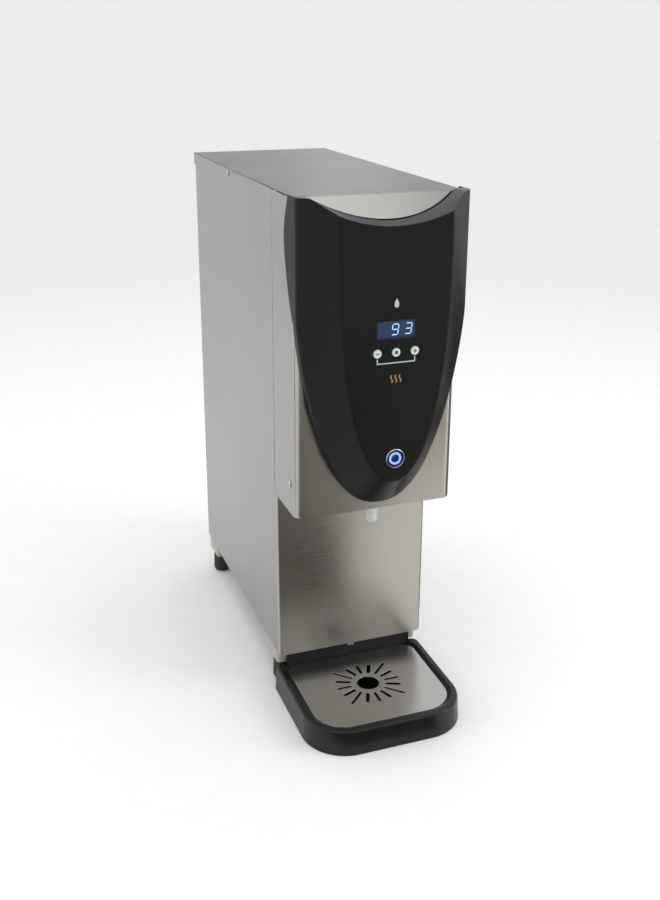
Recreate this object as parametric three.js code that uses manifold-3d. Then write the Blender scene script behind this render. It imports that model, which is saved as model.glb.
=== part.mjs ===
// Countertop hot-water dispenser: a slim steel cabinet with a hood over a drip tray.
// Millimetres, +Z up, +X to the right of someone facing the front, the front towards -Y.
// Places are given as a depth: how far in front of the back panel's outer face a point lies.

import * as THREE from 'three';
import { mergeVertices } from 'three/addons/utils/BufferGeometryUtils.js';
import Module from 'manifold-3d';

const wasm = await Module();
wasm.setup();

// ---------- driving dimensions ----------
const sheet = 1;                 // steel sheet thickness
const gap = 0.3;                 // clearance between neighbouring pieces
const halfWidth = 90;            // outer face of the hood and lid flanges
const bodyFront = 347;           // depth of the splash panel
const hoodFront = 414.5;         // depth of the hood's front
const skirtZ = 46.6;             // lower edge of the cabinet panels
const hoodZ = 252.6;             // lower edge of the hood
const lidZ = 590;                // top of the lid
const wrapRear = 304;            // depth where the splash panel's side flanges end
const seamDepth = 341;           // depth of the hood's rear edges
const hoodBend = 10;             // radius of the hood's front corners
const fittingReach = 25;         // how far the water inlet stands out behind
const trayRear = 333.5;
const trayFront = 488;
const trayFlare = 2;             // how far the tray's foot stands out beyond its rim
const trayHeight = 29;

// Fascia: a shield of moulded plastic in front of the hood
const fasciaHalf = 92;
const fasciaTip = 265;
const fasciaShoulder = 472;
const fasciaCurve = { swell: 1.4, round: 2.33 };   // swell shapes the outline's tip, round its shoulder
const fasciaEdge = 12;           // how far its front edge stands out from the hood
const fasciaTop = 591.5;
const fasciaWall = 2.5;
const hoodWindow = { half: 50, bottom: 315, top: 555 };   // opening in the hood, inside the fascia's outline
const tongueHalf = 59;
const tongueTip = 304.5;
const tongueShoulder = 580;
const tongueCurve = { swell: 2.7, round: 2 };
const tongueReach = 50;          // how far the tongue's tip stands out from the hood
const tongueLean = 0.023;        // backward lean of the tongue for each millimetre of height
const archRadius = 152;
const archFloor = 568.5;         // lowest height of the arched top edge
const browHalf = 77;
const browReach = 31;
const browDrop = 0.796;          // drop of the lid's brow for each millimetre forward

const displayZ = 464;
const displayHalf = { wide: 20, high: 8.75 };
const keyZ = 441;
const keyPitch = 20;
const buttonZ = 330;
const spoutDepth = 403.6;
const tankDepth = 232;
const tankFloor = 92;
const tankTop = 512;
const tankRadius = 78;
const footDepths = { front: 318, rear: 26 };
const footOffset = 76;

// The origin is at the bottom centre of the whole object
const backY = (trayFront + trayFlare + fittingReach) / 2 - fittingReach;
const at = (depth) => backY - depth;
const deg = Math.PI / 180;

// ---------- materials ----------
const paint = (color, roughness, metalness) => new THREE.MeshStandardMaterial({ color, roughness, metalness });
const looks = {
  steel: () => paint('#a9aaa6', 0.38, 1),
  innerSteel: () => paint('#b9b8b2', 0.45, 1),
  legPaint: () => paint('#cfcabc', 0.5, 0.2),
  blackPlastic: () => paint('#202122', 0.42, 0),
  rubber: () => paint('#1c1d1e', 0.8, 0),
  chrome: () => paint('#d8dadc', 0.12, 1),
  lens: () => paint('#1d1c4a', 0.1, 0),
  glow: () => paint('#7fb4ff', 0.3, 0),
  paleKey: () => paint('#cfdad8', 0.5, 0),
  clearPlastic: () => paint('#dfe6e4', 0.25, 0),
  board: () => paint('#2f6b3c', 0.6, 0),
  brass: () => paint('#b08d4a', 0.35, 1),
  foam: () => paint('#3a3a3c', 0.9, 0),
  silicone: () => paint('#d9cfc0', 0.7, 0),
  nylon: () => paint('#e8e6dc', 0.55, 0),
};

// ---------- shape helpers ----------
function signedVolume(position, index) {
  const [a, b, c] = [new THREE.Vector3(), new THREE.Vector3(), new THREE.Vector3()];
  let volume = 0;
  for (let i = 0; i < index.length; i += 3) {
    a.fromBufferAttribute(position, index[i]);
    b.fromBufferAttribute(position, index[i + 1]);
    c.fromBufferAttribute(position, index[i + 2]);
    volume += a.dot(b.cross(c));
  }
  return volume;
}

// A closed geometry as a solid that can be joined and cut.
// Its points are rounded to a fine grid, so that faces meant to be flush are exactly flush.
function solid(geometry) {
  const gridSteps = 1024;
  const bare = geometry.clone();
  bare.deleteAttribute('normal');
  bare.deleteAttribute('uv');
  bare.attributes.position.array.forEach((value, i, array) => {
    array[i] = Math.round(value * gridSteps) / gridSteps;
  });
  const merged = mergeVertices(bare);
  const index = [];
  for (let i = 0; i < merged.index.count; i += 3) {
    const [a, b, c] = [merged.index.getX(i), merged.index.getX(i + 1), merged.index.getX(i + 2)];
    if (a !== b && b !== c && c !== a) index.push(a, b, c);
  }
  if (signedVolume(merged.attributes.position, index) < 0) index.reverse();
  return new wasm.Manifold(new wasm.Mesh({
    numProp: 3,
    vertProperties: new Float32Array(merged.attributes.position.array),
    triVerts: new Uint32Array(index),
  }));
}

function toGeometry(body) {
  const mesh = body.getMesh();
  const geometry = new THREE.BufferGeometry();
  geometry.setAttribute('position', new THREE.BufferAttribute(mesh.vertProperties, 3));
  geometry.setIndex(new THREE.BufferAttribute(mesh.triVerts, 1));
  geometry.computeVertexNormals();
  return geometry;
}

const join = (...bodies) => bodies.reduce((sum, body) => sum.add(body));
const cut = (body, ...tools) => tools.reduce((rest, tool) => rest.subtract(tool), body);

// A box between two limits along each of width, depth and height
function block([x0, x1], [d0, d1], [z0, z1]) {
  const geometry = new THREE.BoxGeometry(x1 - x0, d1 - d0, z1 - z0);
  geometry.translate((x0 + x1) / 2, at((d0 + d1) / 2), (z0 + z1) / 2);
  return solid(geometry);
}

const extrude = (shape, depth) =>
  new THREE.ExtrudeGeometry(shape, { depth, bevelEnabled: false, curveSegments: 3 });

// An outline in width and Y, raised from one height to another
const raised = (shape, [z0, z1]) => solid(extrude(shape, z1 - z0).translate(0, 0, z0));

// An outline in width and height, pushed forward from one depth to another
const pushed = (shape, [d0, d1]) => solid(extrude(shape, d1 - d0).rotateX(Math.PI / 2).translate(0, at(d0), 0));

// An outline in depth and height, stretched across the width
function across(points, [x0, x1]) {
  const sideways = new THREE.Matrix4().makeBasis(
    new THREE.Vector3(0, -1, 0), new THREE.Vector3(0, 0, 1), new THREE.Vector3(-1, 0, 0));
  const shape = new THREE.Shape(points.map(([depth, z]) => new THREE.Vector2(depth, z)));
  return solid(extrude(shape, x1 - x0).applyMatrix4(sideways).translate(x1, backY, 0));
}

const profile = (points) => points.map(([r, s]) => new THREE.Vector2(r, s));

// Turned pieces: a profile of [radius, distance along the axis]
const turnedUp = (points, [x, depth], segments = 16) =>
  solid(new THREE.LatheGeometry(profile(points), segments).rotateX(Math.PI / 2).translate(x, at(depth), 0));
const turnedForward = (points, [x, z], segments = 16) =>
  solid(new THREE.LatheGeometry(profile(points), segments).rotateX(Math.PI).translate(x, backY, z));
const turnedSideways = (points, side, [depth, z], segments = 10) =>
  solid(new THREE.LatheGeometry(profile(points), segments).rotateZ(-side * Math.PI / 2).translate(0, at(depth), z));

const rod = (radius, from, to) => [[0, from], [radius, from], [radius, to], [0, to]];
const sleeve = (outer, inner, from, to) => [[inner, from], [outer, from], [outer, to], [inner, to], [inner, from]];

// A rectangle in width and depth with one radius at its rear corners and one at its front corners
function footprint(half, rear, front, rearRadius, frontRadius) {
  const shape = new THREE.Shape();
  shape.moveTo(-half, at(rear + rearRadius));
  shape.absarc(-half + rearRadius, at(rear + rearRadius), rearRadius, 180 * deg, 90 * deg, true);
  shape.absarc(half - rearRadius, at(rear + rearRadius), rearRadius, 90 * deg, 0, true);
  shape.absarc(half - frontRadius, at(front - frontRadius), frontRadius, 0, -90 * deg, true);
  shape.absarc(-half + frontRadius, at(front - frontRadius), frontRadius, -90 * deg, -180 * deg, true);
  return shape;
}

// A body through rings of equal length, closed flat at both ends.
// Rings stacked in height lie level, and rings stacked in depth stand upright.
function loft(stack) {
  const level = stack[0].every(({ z }) => z === stack[0][0].z);
  const flatten = (ring) => ring.map(({ x, y, z }) => new THREE.Vector2(x, level ? y : z));
  const clockwise = THREE.ShapeUtils.isClockWise(flatten(stack[0]));
  const rings = clockwise ? stack.map((ring) => [...ring].reverse()) : stack;
  const count = rings[0].length;
  const index = [];
  for (let ring = 0; ring + 1 < rings.length; ring += 1) {
    for (let i = 0; i < count; i += 1) {
      const [a, b] = [ring * count + i, ring * count + (i + 1) % count];
      index.push(a, b, a + count, b, b + count, a + count);
    }
  }
  const start = (rings.length - 1) * count;
  const cap = (ring) => THREE.ShapeUtils.triangulateShape(flatten(ring), []);
  for (const [a, b, c] of cap(rings[0])) index.push(a, c, b);
  for (const [a, b, c] of cap(rings.at(-1))) index.push(start + a, start + b, start + c);
  const geometry = new THREE.BufferGeometry();
  const positions = rings.flat().flatMap(({ x, y, z }) => [x, y, z]);
  geometry.setAttribute('position', new THREE.Float32BufferAttribute(positions, 3));
  geometry.setIndex(index);
  return solid(geometry);
}

// The corner points of a level outline, each given once
function levelRing(shape, divisions, z) {
  const points = shape.getPoints(divisions);
  return points.filter((point, i) => point.distanceTo(points.at(i - 1)) > 0.001)
    .map(({ x, y }) => new THREE.Vector3(x, y, z));
}

// A hollow hose along a smooth path of [x, depth, z] points
function hose(points, outer, inner, steps) {
  const path = new THREE.CatmullRomCurve3(points.map(([x, depth, z]) => new THREE.Vector3(x, at(depth), z)));
  const section = new THREE.Shape().absarc(0, 0, outer, 0, 2 * Math.PI);
  if (inner > 0) section.holes.push(new THREE.Path().absarc(0, 0, inner, 0, 2 * Math.PI));
  return solid(new THREE.ExtrudeGeometry(section, { extrudePath: path, steps, curveSegments: 4 }));
}

const dispenser = new THREE.Group();

function add(name, look, body) {
  const mesh = new THREE.Mesh(toGeometry(body), looks[look]());
  mesh.name = name;
  dispenser.add(mesh);
}

// ---------- cabinet ----------
const inlet = { x: 45, z: 85 };
const gland = { x: -50, z: 85 };
const drain = { x: 0, z: 62 };
const drainHole = 7.3;
const panelFace = halfWidth - sheet - gap;
const panelInner = panelFace - sheet;
const screwHole = 2.3;
const lidScrew = { depth: 170, z: 583.7 };
const hoodScrew = { depth: 395.6, z: 286 };
const backScrews = [[-1, 70], [1, 70], [-1, 560], [1, 560]].map(([side, z]) => ({ x: side * 81, z }));

const sideHole = ({ depth, z }) =>
  join(...[-1, 1].map((side) => turnedSideways(rod(screwHole, panelInner - 10, halfWidth + 5), side, [depth, z])));
const backHole = ({ x, z }, radius) => turnedForward(rod(radius, -5, 12), [x, z], 12);

function addSidePanels() {
  const flangeWidth = 14;
  for (const [name, side] of [['left_side_panel', -1], ['right_side_panel', 1]]) {
    const span = (a, b) => [Math.min(side * a, side * b), Math.max(side * a, side * b)];
    const wall = block(span(panelInner, panelFace), [sheet + gap, bodyFront - 4], [skirtZ, lidZ - sheet - gap]);
    const flange = block(span(panelFace - flangeWidth, panelFace), [sheet + gap, 2 * sheet + gap],
      [skirtZ + 4, lidZ - sheet - gap]);
    const holes = backScrews.filter(({ x }) => x * side > 0).map((screw) => backHole(screw, screwHole));
    add(name, 'steel', cut(join(wall, flange), sideHole(lidScrew), ...holes));
  }
}

function addBasePan() {
  const half = panelInner - gap;
  const [rear, front] = [2 * sheet + 2 * gap, bodyFront - sheet - gap];
  const floor = skirtZ + 0.4;
  const outside = block([-half, half], [rear, front], [floor, floor + 16]);
  const inside = block([-half + sheet, half - sheet], [rear + sheet, front - sheet], [floor + sheet, floor + 20]);
  add('base_pan', 'innerSteel', cut(outside, inside, backHole(drain, drainHole)));
}

const powerSwitch = { x: -50, z: 140, halfWide: 14, halfHigh: 10 };

function addBackPanel() {
  const plate = block([-panelFace, panelFace], [0, sheet], [skirtZ + 0.4, lidZ - sheet - gap]);
  const slots = [0, 1, 2, 3, 4].map((i) => block([-35, 35], [-2, 4], [500 + 12 * i, 504 + 12 * i]));
  const switchHole = block(
    [powerSwitch.x - powerSwitch.halfWide - gap, powerSwitch.x + powerSwitch.halfWide + gap], [-2, 4],
    [powerSwitch.z - powerSwitch.halfHigh - gap, powerSwitch.z + powerSwitch.halfHigh + gap]);
  add('back_panel', 'steel', cut(plate, ...slots, switchHole,
    backHole(inlet, 7), backHole(gland, 8.2), backHole(drain, drainHole),
    ...backScrews.map((screw) => backHole(screw, screwHole))));
}

// The splash panel is one sheet: a front face below the hood, bent round both sides of the cabinet
function addSplashPanel() {
  const bend = 3;
  const outline = (inset) => footprint(halfWidth - inset, wrapRear - 20, bodyFront - inset, 0.01, bend - inset);
  const full = [skirtZ, lidZ - sheet - gap];
  const wrapped = cut(raised(outline(0), full), raised(outline(sheet), [skirtZ - 5, lidZ + 5]),
    block([-100, 100], [wrapRear - 30, wrapRear], [0, 600]));
  const tabTop = hoodZ + 22;
  const cornerRoom = [-1, 1].map((side) => block(
    side < 0 ? [-100, -86] : [86, 100], [seamDepth - gap, bodyFront + 5], [hoodZ - gap, 600]));
  const open = block([-87, 87], [seamDepth, bodyFront + 5], [tabTop, 600]);
  const locatingTab = block([-4, 4], [bodyFront - sheet, bodyFront], [skirtZ - 3, skirtZ + 1]);
  add('splash_panel', 'steel', join(cut(wrapped, ...cornerRoom, open), locatingTab));
}

// The lid is one sheet: flanges down the rear and both sides, and a sloping brow at the front
function addLid() {
  const flangeBottom = 575.5;
  const [rear, flangeFront] = [-sheet - gap, wrapRear - gap];
  const under = sheet * Math.hypot(1, browDrop);
  const browFront = hoodFront + browReach;
  const browBottom = lidZ - browDrop * browReach;
  const folded = across([
    [rear, flangeBottom], [rear, lidZ], [hoodFront, lidZ], [browFront, browBottom], [browFront, browBottom - under],
    [hoodFront + (sheet - under) / browDrop, lidZ - sheet], [flangeFront, lidZ - sheet], [flangeFront, flangeBottom],
  ], [-halfWidth, halfWidth]);
  const inside = block([-halfWidth + sheet, halfWidth - sheet], [-gap, wrapRear + 50], [500, lidZ - sheet]);
  const besideBrow = [[-100, -browHalf], [browHalf, 100]].map((span) => block(span, [hoodFront, browFront + 5], [500, 600]));
  const belowArch = cut(block([-100, 100], [hoodFront, browFront + 5], [500, 600]), archCutter(3.6));
  add('top_lid', 'steel', cut(folded, inside, ...besideBrow, belowArch, sideHole(lidScrew)));
}

const legTop = skirtZ - gap;
const legBottom = trayHeight + 0.5;

function addCornerLegs() {
  const width = 22;
  const studRoom = 4.6;
  for (const [end, depth] of Object.entries(footDepths)) {
    const rearEdge = end === 'front' ? 293 : 6;
    const shape = footprint(width / 2, rearEdge, rearEdge + 42, 4, 4);
    for (const [hand, side] of [['left', -1], ['right', 1]]) {
      const centre = side * (panelFace - width / 2);
      const post = solid(extrude(shape, legTop - legBottom).translate(centre, 0, legBottom));
      const hole = turnedUp(rod(studRoom, 0, skirtZ - 2), [side * footOffset, depth], 16);
      add(`corner_leg_${end}_${hand}`, 'legPaint', cut(post, hole));
    }
  }
}

function addLevellingFeet() {
  const top = legBottom - gap;
  const pad = [[0, 0], [7, 0], [10.5, 2], [12, 6], [11, top], [4, top], [4, skirtZ - 5], [0, skirtZ - 5]];
  for (const [end, depth] of Object.entries(footDepths)) {
    for (const [hand, side] of [['left', -1], ['right', 1]]) {
      add(`levelling_foot_${end}_${hand}`, 'rubber', turnedUp(pad, [side * footOffset, depth]));
    }
  }
}

// ---------- hood ----------
function hoodOutline(inset) {
  return footprint(halfWidth - inset, seamDepth - 20, hoodFront - inset, 0.01, hoodBend - inset);
}

function addHood() {
  const height = [hoodZ, lidZ - sheet - 0.8];
  const window = block([-hoodWindow.half, hoodWindow.half], [hoodFront - 5, hoodFront + 5],
    [hoodWindow.bottom, hoodWindow.top]);
  const trim = block([-100, 100], [seamDepth - 30, seamDepth], [200, 600]);
  add('hood_wrap', 'steel', cut(raised(hoodOutline(0), height), raised(hoodOutline(sheet), [200, 600]),
    trim, window, sideHole(hoodScrew)));
}

function addHoodUnderplate() {
  const base = hoodZ + 0.6;
  const half = halfWidth - sheet - gap;
  const floor = raised(footprint(half, bodyFront + gap, hoodFront - sheet - gap, 1, hoodBend - sheet), [base, base + sheet]);
  const ears = [[-half, -half + sheet], [half - sheet, half]].map((span) => block(span, [352, 402], [base, base + 46]));
  const spoutHole = turnedUp(rod(8, base - 5, base + 5), [0, spoutDepth]);
  add('hood_underplate', 'steel', cut(join(floor, ...ears), spoutHole, sideHole(hoodScrew)));
}

// ---------- screws ----------
const screwProfile = (headFace) => [
  [0, headFace - 8], [2, headFace - 8], [2, headFace], [3.6, headFace], [3, headFace + 1.3], [0, headFace + 1.3],
];

function addScrews() {
  for (const [hand, side] of [['left', -1], ['right', 1]]) {
    const face = halfWidth + gap;
    add(`lid_screw_${hand}`, 'chrome', turnedSideways(screwProfile(face), side, [lidScrew.depth, lidScrew.z]));
    add(`hood_screw_${hand}`, 'chrome', turnedSideways(screwProfile(face), side, [hoodScrew.depth, hoodScrew.z]));
  }
  backScrews.forEach((screw, i) => {
    const backward = screwProfile(gap).map(([r, s]) => [r, -s]);
    add(`back_screw_${i + 1}`, 'chrome', turnedForward(backward, [screw.x, screw.z], 10));
  });
}

// ---------- fascia ----------
// Half-width of a shield outline: nothing at its tip, full from its shoulder upward
function shieldHalf(z, tip, shoulder, half, { swell, round }) {
  const fall = Math.min(Math.max((shoulder - z) / (shoulder - tip), 0), 1);
  return half * (1 - fall ** swell) ** (1 / round);
}

const tongueFace = (z) => tongueReach - tongueLean * (z - tongueTip);

// One upright ring of the shield, drawn from the top left round the tip to the top right
function shieldRing(tip, shoulder, half, curve, top, reach) {
  const steps = 15;
  const right = [];
  for (let i = 1; i <= steps; i += 1) {
    const z = tip + (shoulder - tip) * (i / steps) ** 2;
    right.push([shieldHalf(z, tip, shoulder, half, curve), z]);
  }
  right.push([half, top]);
  const left = right.map(([x, z]) => [-x, z]).reverse();
  return [...left, [0, tip], ...right].map(([x, z]) => new THREE.Vector3(x, at(hoodFront + reach(z)), z));
}

const outerRing = (inset, reach, top) =>
  shieldRing(fasciaTip + inset, fasciaShoulder, fasciaHalf - inset, fasciaCurve, top, () => reach);
const tongueRing = (inset, top) =>
  shieldRing(tongueTip + inset, tongueShoulder, tongueHalf - inset, tongueCurve, top, (z) => tongueFace(z) - inset);

// Everything above an arched surface that dips towards the middle, and a little towards the front
function archCutter(lower) {
  const station = (reach, floor) => {
    const half = 100;
    const steps = 26;
    const ring = [];
    for (let i = 0; i <= steps; i += 1) {
      const x = -half + 2 * half * i / steps;
      const z = floor - lower + archRadius - Math.sqrt(archRadius ** 2 - x ** 2);
      ring.push(new THREE.Vector3(x, at(hoodFront + reach), z));
    }
    ring.push(new THREE.Vector3(half, at(hoodFront + reach), 700), new THREE.Vector3(-half, at(hoodFront + reach), 700));
    return ring;
  };
  return loft([station(-60, archFloor), station(27, archFloor), station(70, archFloor - 8.2)]);
}

const bossPlaces = [[-40, 452], [40, 452], [-40, 478], [40, 478]];
const boardBehind = 10.8;        // from the tongue's face back to the control board
const boardRear = (z) => hoodFront + tongueFace(z) - boardBehind;

function addFascia() {
  const rearReach = -40;
  const shell = loft([outerRing(0, rearReach, fasciaTop), outerRing(0, fasciaEdge, fasciaTop), tongueRing(0, fasciaTop)]);
  const topRoom = fasciaTop - fasciaWall;
  const hollow = loft([outerRing(fasciaWall, rearReach, topRoom), outerRing(fasciaWall, fasciaEdge - 1, topRoom),
    tongueRing(fasciaWall, topRoom)]).subtract(archCutter(fasciaWall));

  // The upper part reaches back round the hood's sides, with a curved rear edge
  const rearEdge = new THREE.SplineCurve([
    new THREE.Vector2(hoodFront + 0.3, 465), new THREE.Vector2(hoodFront - 15.4, 500),
    new THREE.Vector2(hoodFront - 26, 551), new THREE.Vector2(hoodFront - 12, 592),
  ]).getPoints(14).map(({ x, y }) => [x, y]);
  const behind = across([[300, 600], [300, 200], [hoodFront + 0.3, 200], ...rearEdge, [hoodFront - 12, 600]], [-100, 100]);
  const clearOfHood = halfWidth + gap;
  const hoodRoom = block([-clearOfHood, clearOfHood], [300, hoodFront + gap], [200, 620]);

  // Room for the brow of the lid, which runs down inside the arch
  const browClear = 0.4;
  const roomReach = browReach + 5;
  const roomBottom = lidZ - browDrop * (roomReach - browClear);
  const browRoom = across([
    [hoodFront - 5, lidZ + 20], [hoodFront + browClear, lidZ + 20], [hoodFront + browClear, lidZ],
    [hoodFront + roomReach, roomBottom], [hoodFront - 5, roomBottom],
  ], [-browHalf - gap, browHalf + gap]).intersect(archCutter(4.5));

  const bosses = bossPlaces.map(([x, z]) => {
    const face = hoodFront + tongueFace(z);
    return turnedForward(rod(3, face - 8.9, face - 1.5), [x, z], 12);
  });
  const reach = [hoodFront + 30, hoodFront + 60];
  const display = block([-displayHalf.wide, displayHalf.wide], reach,
    [displayZ - displayHalf.high, displayZ + displayHalf.high]);
  const keyHoles = [-1, 0, 1].map((i) => turnedForward(rod(5.3, ...reach), [i * keyPitch, keyZ]));
  const buttonHole = turnedForward(rod(9.6, ...reach), [0, buttonZ]);
  add('front_fascia', 'blackPlastic', cut(
    join(cut(shell, hollow, archCutter(0), behind, hoodRoom, browRoom), ...bosses), display, ...keyHoles, buttonHole));
}

function addDisplay() {
  const { wide, high } = displayHalf;
  const face = hoodFront + tongueFace(displayZ + high);
  add('display_lens', 'lens', block([gap - wide, wide - gap], [face - 2.1, face - 0.4],
    [displayZ - high + gap, displayZ + high - gap]));
  add('display_module', 'blackPlastic', block([-22, 22], [face - 8.9, face - 2.9], [displayZ - 10, displayZ + 10]));
}

function addControlBoard() {
  const rear = boardRear(displayZ + 20);
  const plate = block([-45, 45], [rear - 1.6, rear], [430, 484]);
  const switches = [-1, 0, 1].map((i) => block(
    [i * keyPitch - 3, i * keyPitch + 3], [rear - 0.5, rear + 5], [keyZ - 3, keyZ + 3]));
  const chip = block([-36, -20], [rear - 4, rear - 1], [455, 471]);
  const socket = block([20, 40], [rear - 9, rear - 1], [436, 446]);
  add('control_board', 'board', join(plate, ...switches, chip, socket));
}

function addKeys() {
  const face = hoodFront + tongueFace(keyZ);
  const cap = [
    [0, face - 4.2], [6.3, face - 4.2], [6.3, face - 3.2], [5, face - 3.2],
    [5, face + 0.5], [4.6, face + 0.9], [0, face + 0.9],
  ];
  ['minus_key', 'stop_key', 'plus_key'].forEach((name, i) => {
    add(name, 'paleKey', turnedForward(cap, [(i - 1) * keyPitch, keyZ]));
  });
}

function addPushButton() {
  const face = hoodFront + tongueFace(buttonZ - 11);
  const wallBack = hoodFront + tongueFace(buttonZ + 12) - fasciaWall;
  const bezel = [
    [8.3, face - 16], [9.3, face - 16], [9.3, face + gap], [11, face + gap], [11, face + 1.3], [10, face + 2.4],
    [8.9, face + 2.4], [8.3, face + 1.8], [8.3, face - 16],
  ];
  add('push_button_bezel', 'chrome', turnedForward(bezel, [0, buttonZ], 24));
  const hex = new THREE.Shape(Array.from({ length: 6 }, (_, i) =>
    new THREE.Vector2(13 * Math.cos(60 * i * deg), buttonZ + 13 * Math.sin(60 * i * deg))));
  add('push_button_nut', 'brass', cut(pushed(hex, [wallBack - 4, wallBack - gap]),
    turnedForward(rod(9.6, wallBack - 10, wallBack + 5), [0, buttonZ])));
  add('push_button_contact_block', 'blackPlastic', turnedForward(rod(8.6, face - 28, face - 16.3), [0, buttonZ]));
  add('dispense_button', 'chrome', turnedForward([
    [0, face - 10], [5, face - 10], [5, face - 2], [8, face - 2], [8, face + 1.2], [7.6, face + 1.6],
    [6.8, face + 1.6], [6.8, face], [4.2, face], [4.2, face + 1.6], [0, face + 1.6],
  ], [0, buttonZ], 24));
  add('button_light_ring', 'glow', turnedForward(sleeve(6.5, 4.5, face + gap, face + 1.6), [0, buttonZ], 24));
}

// ---------- water system ----------
const outletZ = 330;             // height of the tank's outlet
const fillZ = 120;               // height of its inlet

function addTank() {
  const wall = 1.2;
  const cup = turnedUp([
    [0, tankFloor], [tankRadius - 3, tankFloor], [tankRadius, tankFloor + 3], [tankRadius, tankTop - 2],
    [tankRadius + 6, tankTop - 2], [tankRadius + 6, tankTop], [tankRadius - wall, tankTop],
    [tankRadius - wall, tankFloor + 3], [tankRadius - 3 - wall, tankFloor + wall], [0, tankFloor + wall],
  ], [0, tankDepth], 24);
  const front = tankDepth + tankRadius;
  const outlet = turnedForward(rod(6, front - 3, front + 20), [0, outletZ], 16);
  const outletBore = turnedForward(rod(4.5, front - 10, front + 25), [0, outletZ], 16);
  const rear = tankDepth - tankRadius;
  const fill = turnedForward(rod(6, rear - 15, rear + 3), [0, fillZ], 16);
  const fillBore = turnedForward(rod(4.5, rear - 20, rear + 10), [0, fillZ], 16);
  const drainStub = turnedUp(rod(6, tankFloor - 12, tankFloor + 0.6), [0, tankDepth], 16);
  const drainBore = turnedUp(rod(4.5, tankFloor - 15, tankFloor + 5), [0, tankDepth], 16);
  add('water_tank', 'innerSteel', cut(join(cup, outlet, fill, drainStub), outletBore, fillBore, drainBore));

  const jacket = turnedUp(sleeve(tankRadius + 7.5, tankRadius + 1, tankFloor + 4, tankTop - 12), [0, tankDepth], 24);
  const portRoom = [
    turnedForward(rod(8, front - 10, front + 25), [0, outletZ], 16),
    turnedForward(rod(8, rear - 25, rear + 10), [0, fillZ], 16),
  ];
  add('tank_insulation', 'foam', cut(jacket, ...portRoom));

  const stand = turnedUp(sleeve(74, 70, skirtZ + 1.4 + gap, tankFloor - gap), [0, tankDepth], 24);
  add('tank_stand', 'innerSteel', cut(stand, block([-15, 15], [tankDepth - 100, tankDepth], [skirtZ + 5, tankFloor + 5])));
}

function addTankLid() {
  const base = tankTop + gap;
  add('tank_gasket', 'silicone', turnedUp(sleeve(tankRadius + 5, tankRadius, base, base + 2), [0, tankDepth], 24));
  const plate = turnedUp(rod(tankRadius + 6, base + 2.3, base + 4.3), [0, tankDepth], 24);
  const holes = [[-20, 0, 4.6], [20, 0, 4.6], [0, 30, 3.4], [0, -30, 2.6]].map(([x, forward, radius]) =>
    turnedUp(rod(radius, base, base + 10), [x, tankDepth + forward], 16));
  add('tank_lid', 'innerSteel', cut(plate, ...holes));
  const top = base + 4.3 + gap;
  add('temperature_probe', 'innerSteel', turnedUp([
    [0, 300], [3, 300], [3, top], [7, top], [7, top + 8], [0, top + 8]], [0, tankDepth + 30], 16));
  add('level_probe', 'innerSteel', turnedUp([
    [0, 440], [2, 440], [2, top], [6, top], [6, top + 14], [0, top + 14]], [0, tankDepth - 30], 16));
  add('limit_thermostat', 'blackPlastic', turnedUp(rod(9, top, top + 12), [48, tankDepth]));
  const loop = [[-20, 528], [-20, 400], [-20, 200], [-18, 140], [-10, 122], [0, 118], [10, 122], [18, 140],
    [20, 200], [20, 400], [20, 528]].map(([x, z]) => [x, tankDepth, z]);
  add('heating_element', 'innerSteel', hose(loop, 4, 0, 26));
}

function addFillLine() {
  add('inlet_fitting', 'brass', turnedForward([
    [3.5, -fittingReach], [6.5, -fittingReach], [6.5, -9], [10.5, -9], [10.5, -gap], [6.5, -gap], [6.5, 19.7],
    [3.5, 19.7], [3.5, -fittingReach]], [inlet.x, inlet.z], 18));
  const body = block([inlet.x - 14, inlet.x + 14], [20, 60], [inlet.z - 13, inlet.z + 13]);
  const coil = turnedUp(rod(13, inlet.z + 12, inlet.z + 50), [inlet.x, 40]);
  add('inlet_valve', 'nylon', join(body, coil));
  const tankPort = tankDepth - tankRadius - 15;
  add('fill_tube', 'silicone', hose([
    [inlet.x, 60.6, inlet.z], [inlet.x, 68, inlet.z], [36, 86, 94], [10, 106, 114], [0, tankPort - 12, fillZ],
    [0, tankPort - 0.6, fillZ],
  ], 5.5, 3.5, 12));
}

function addDrain() {
  const start = tankFloor - 12 - 0.6;
  add('drain_tube', 'silicone', hose([
    [0, tankDepth, start], [0, tankDepth, start - 4], [0, tankDepth - 14, drain.z], [0, 120, drain.z],
    [0, 0, drain.z], [0, -8, drain.z],
  ], 6, 4, 22));
  add('drain_plug', 'blackPlastic', turnedForward([
    [0, -18], [8, -18], [8, -8 - gap], [0, -8 - gap]], [drain.x, drain.z], 16));
}

function addDispenseLine() {
  const tankPort = tankDepth + tankRadius + 20;
  const valve = { rear: 386, front: 411, bottom: 268, top: 290 };
  add('outlet_tube', 'silicone', hose([
    [0, tankPort + 0.6, outletZ], [0, tankPort + 8, outletZ], [0, 354, 305], [0, valve.rear - 10, 279],
    [0, valve.rear - 0.6, 279],
  ], 6, 4, 14));
  add('dispense_valve', 'nylon', join(
    block([-14, 14], [valve.rear, valve.front], [valve.bottom, valve.top]),
    turnedUp(rod(12, valve.top - 1, valve.top + 42), [0, 399])));
  const plate = hoodZ + 0.6 + sheet;
  add('spout_nozzle', 'clearPlastic', turnedUp([
    [4.5, 235], [7.2, 235], [7.5, 236], [7.5, plate + gap], [9.4, plate + gap], [9.4, plate + 2.3], [7.5, plate + 2.3],
    [7.5, valve.bottom - gap], [4.5, valve.bottom - gap], [4.5, 235]], [0, spoutDepth]));
}

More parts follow.
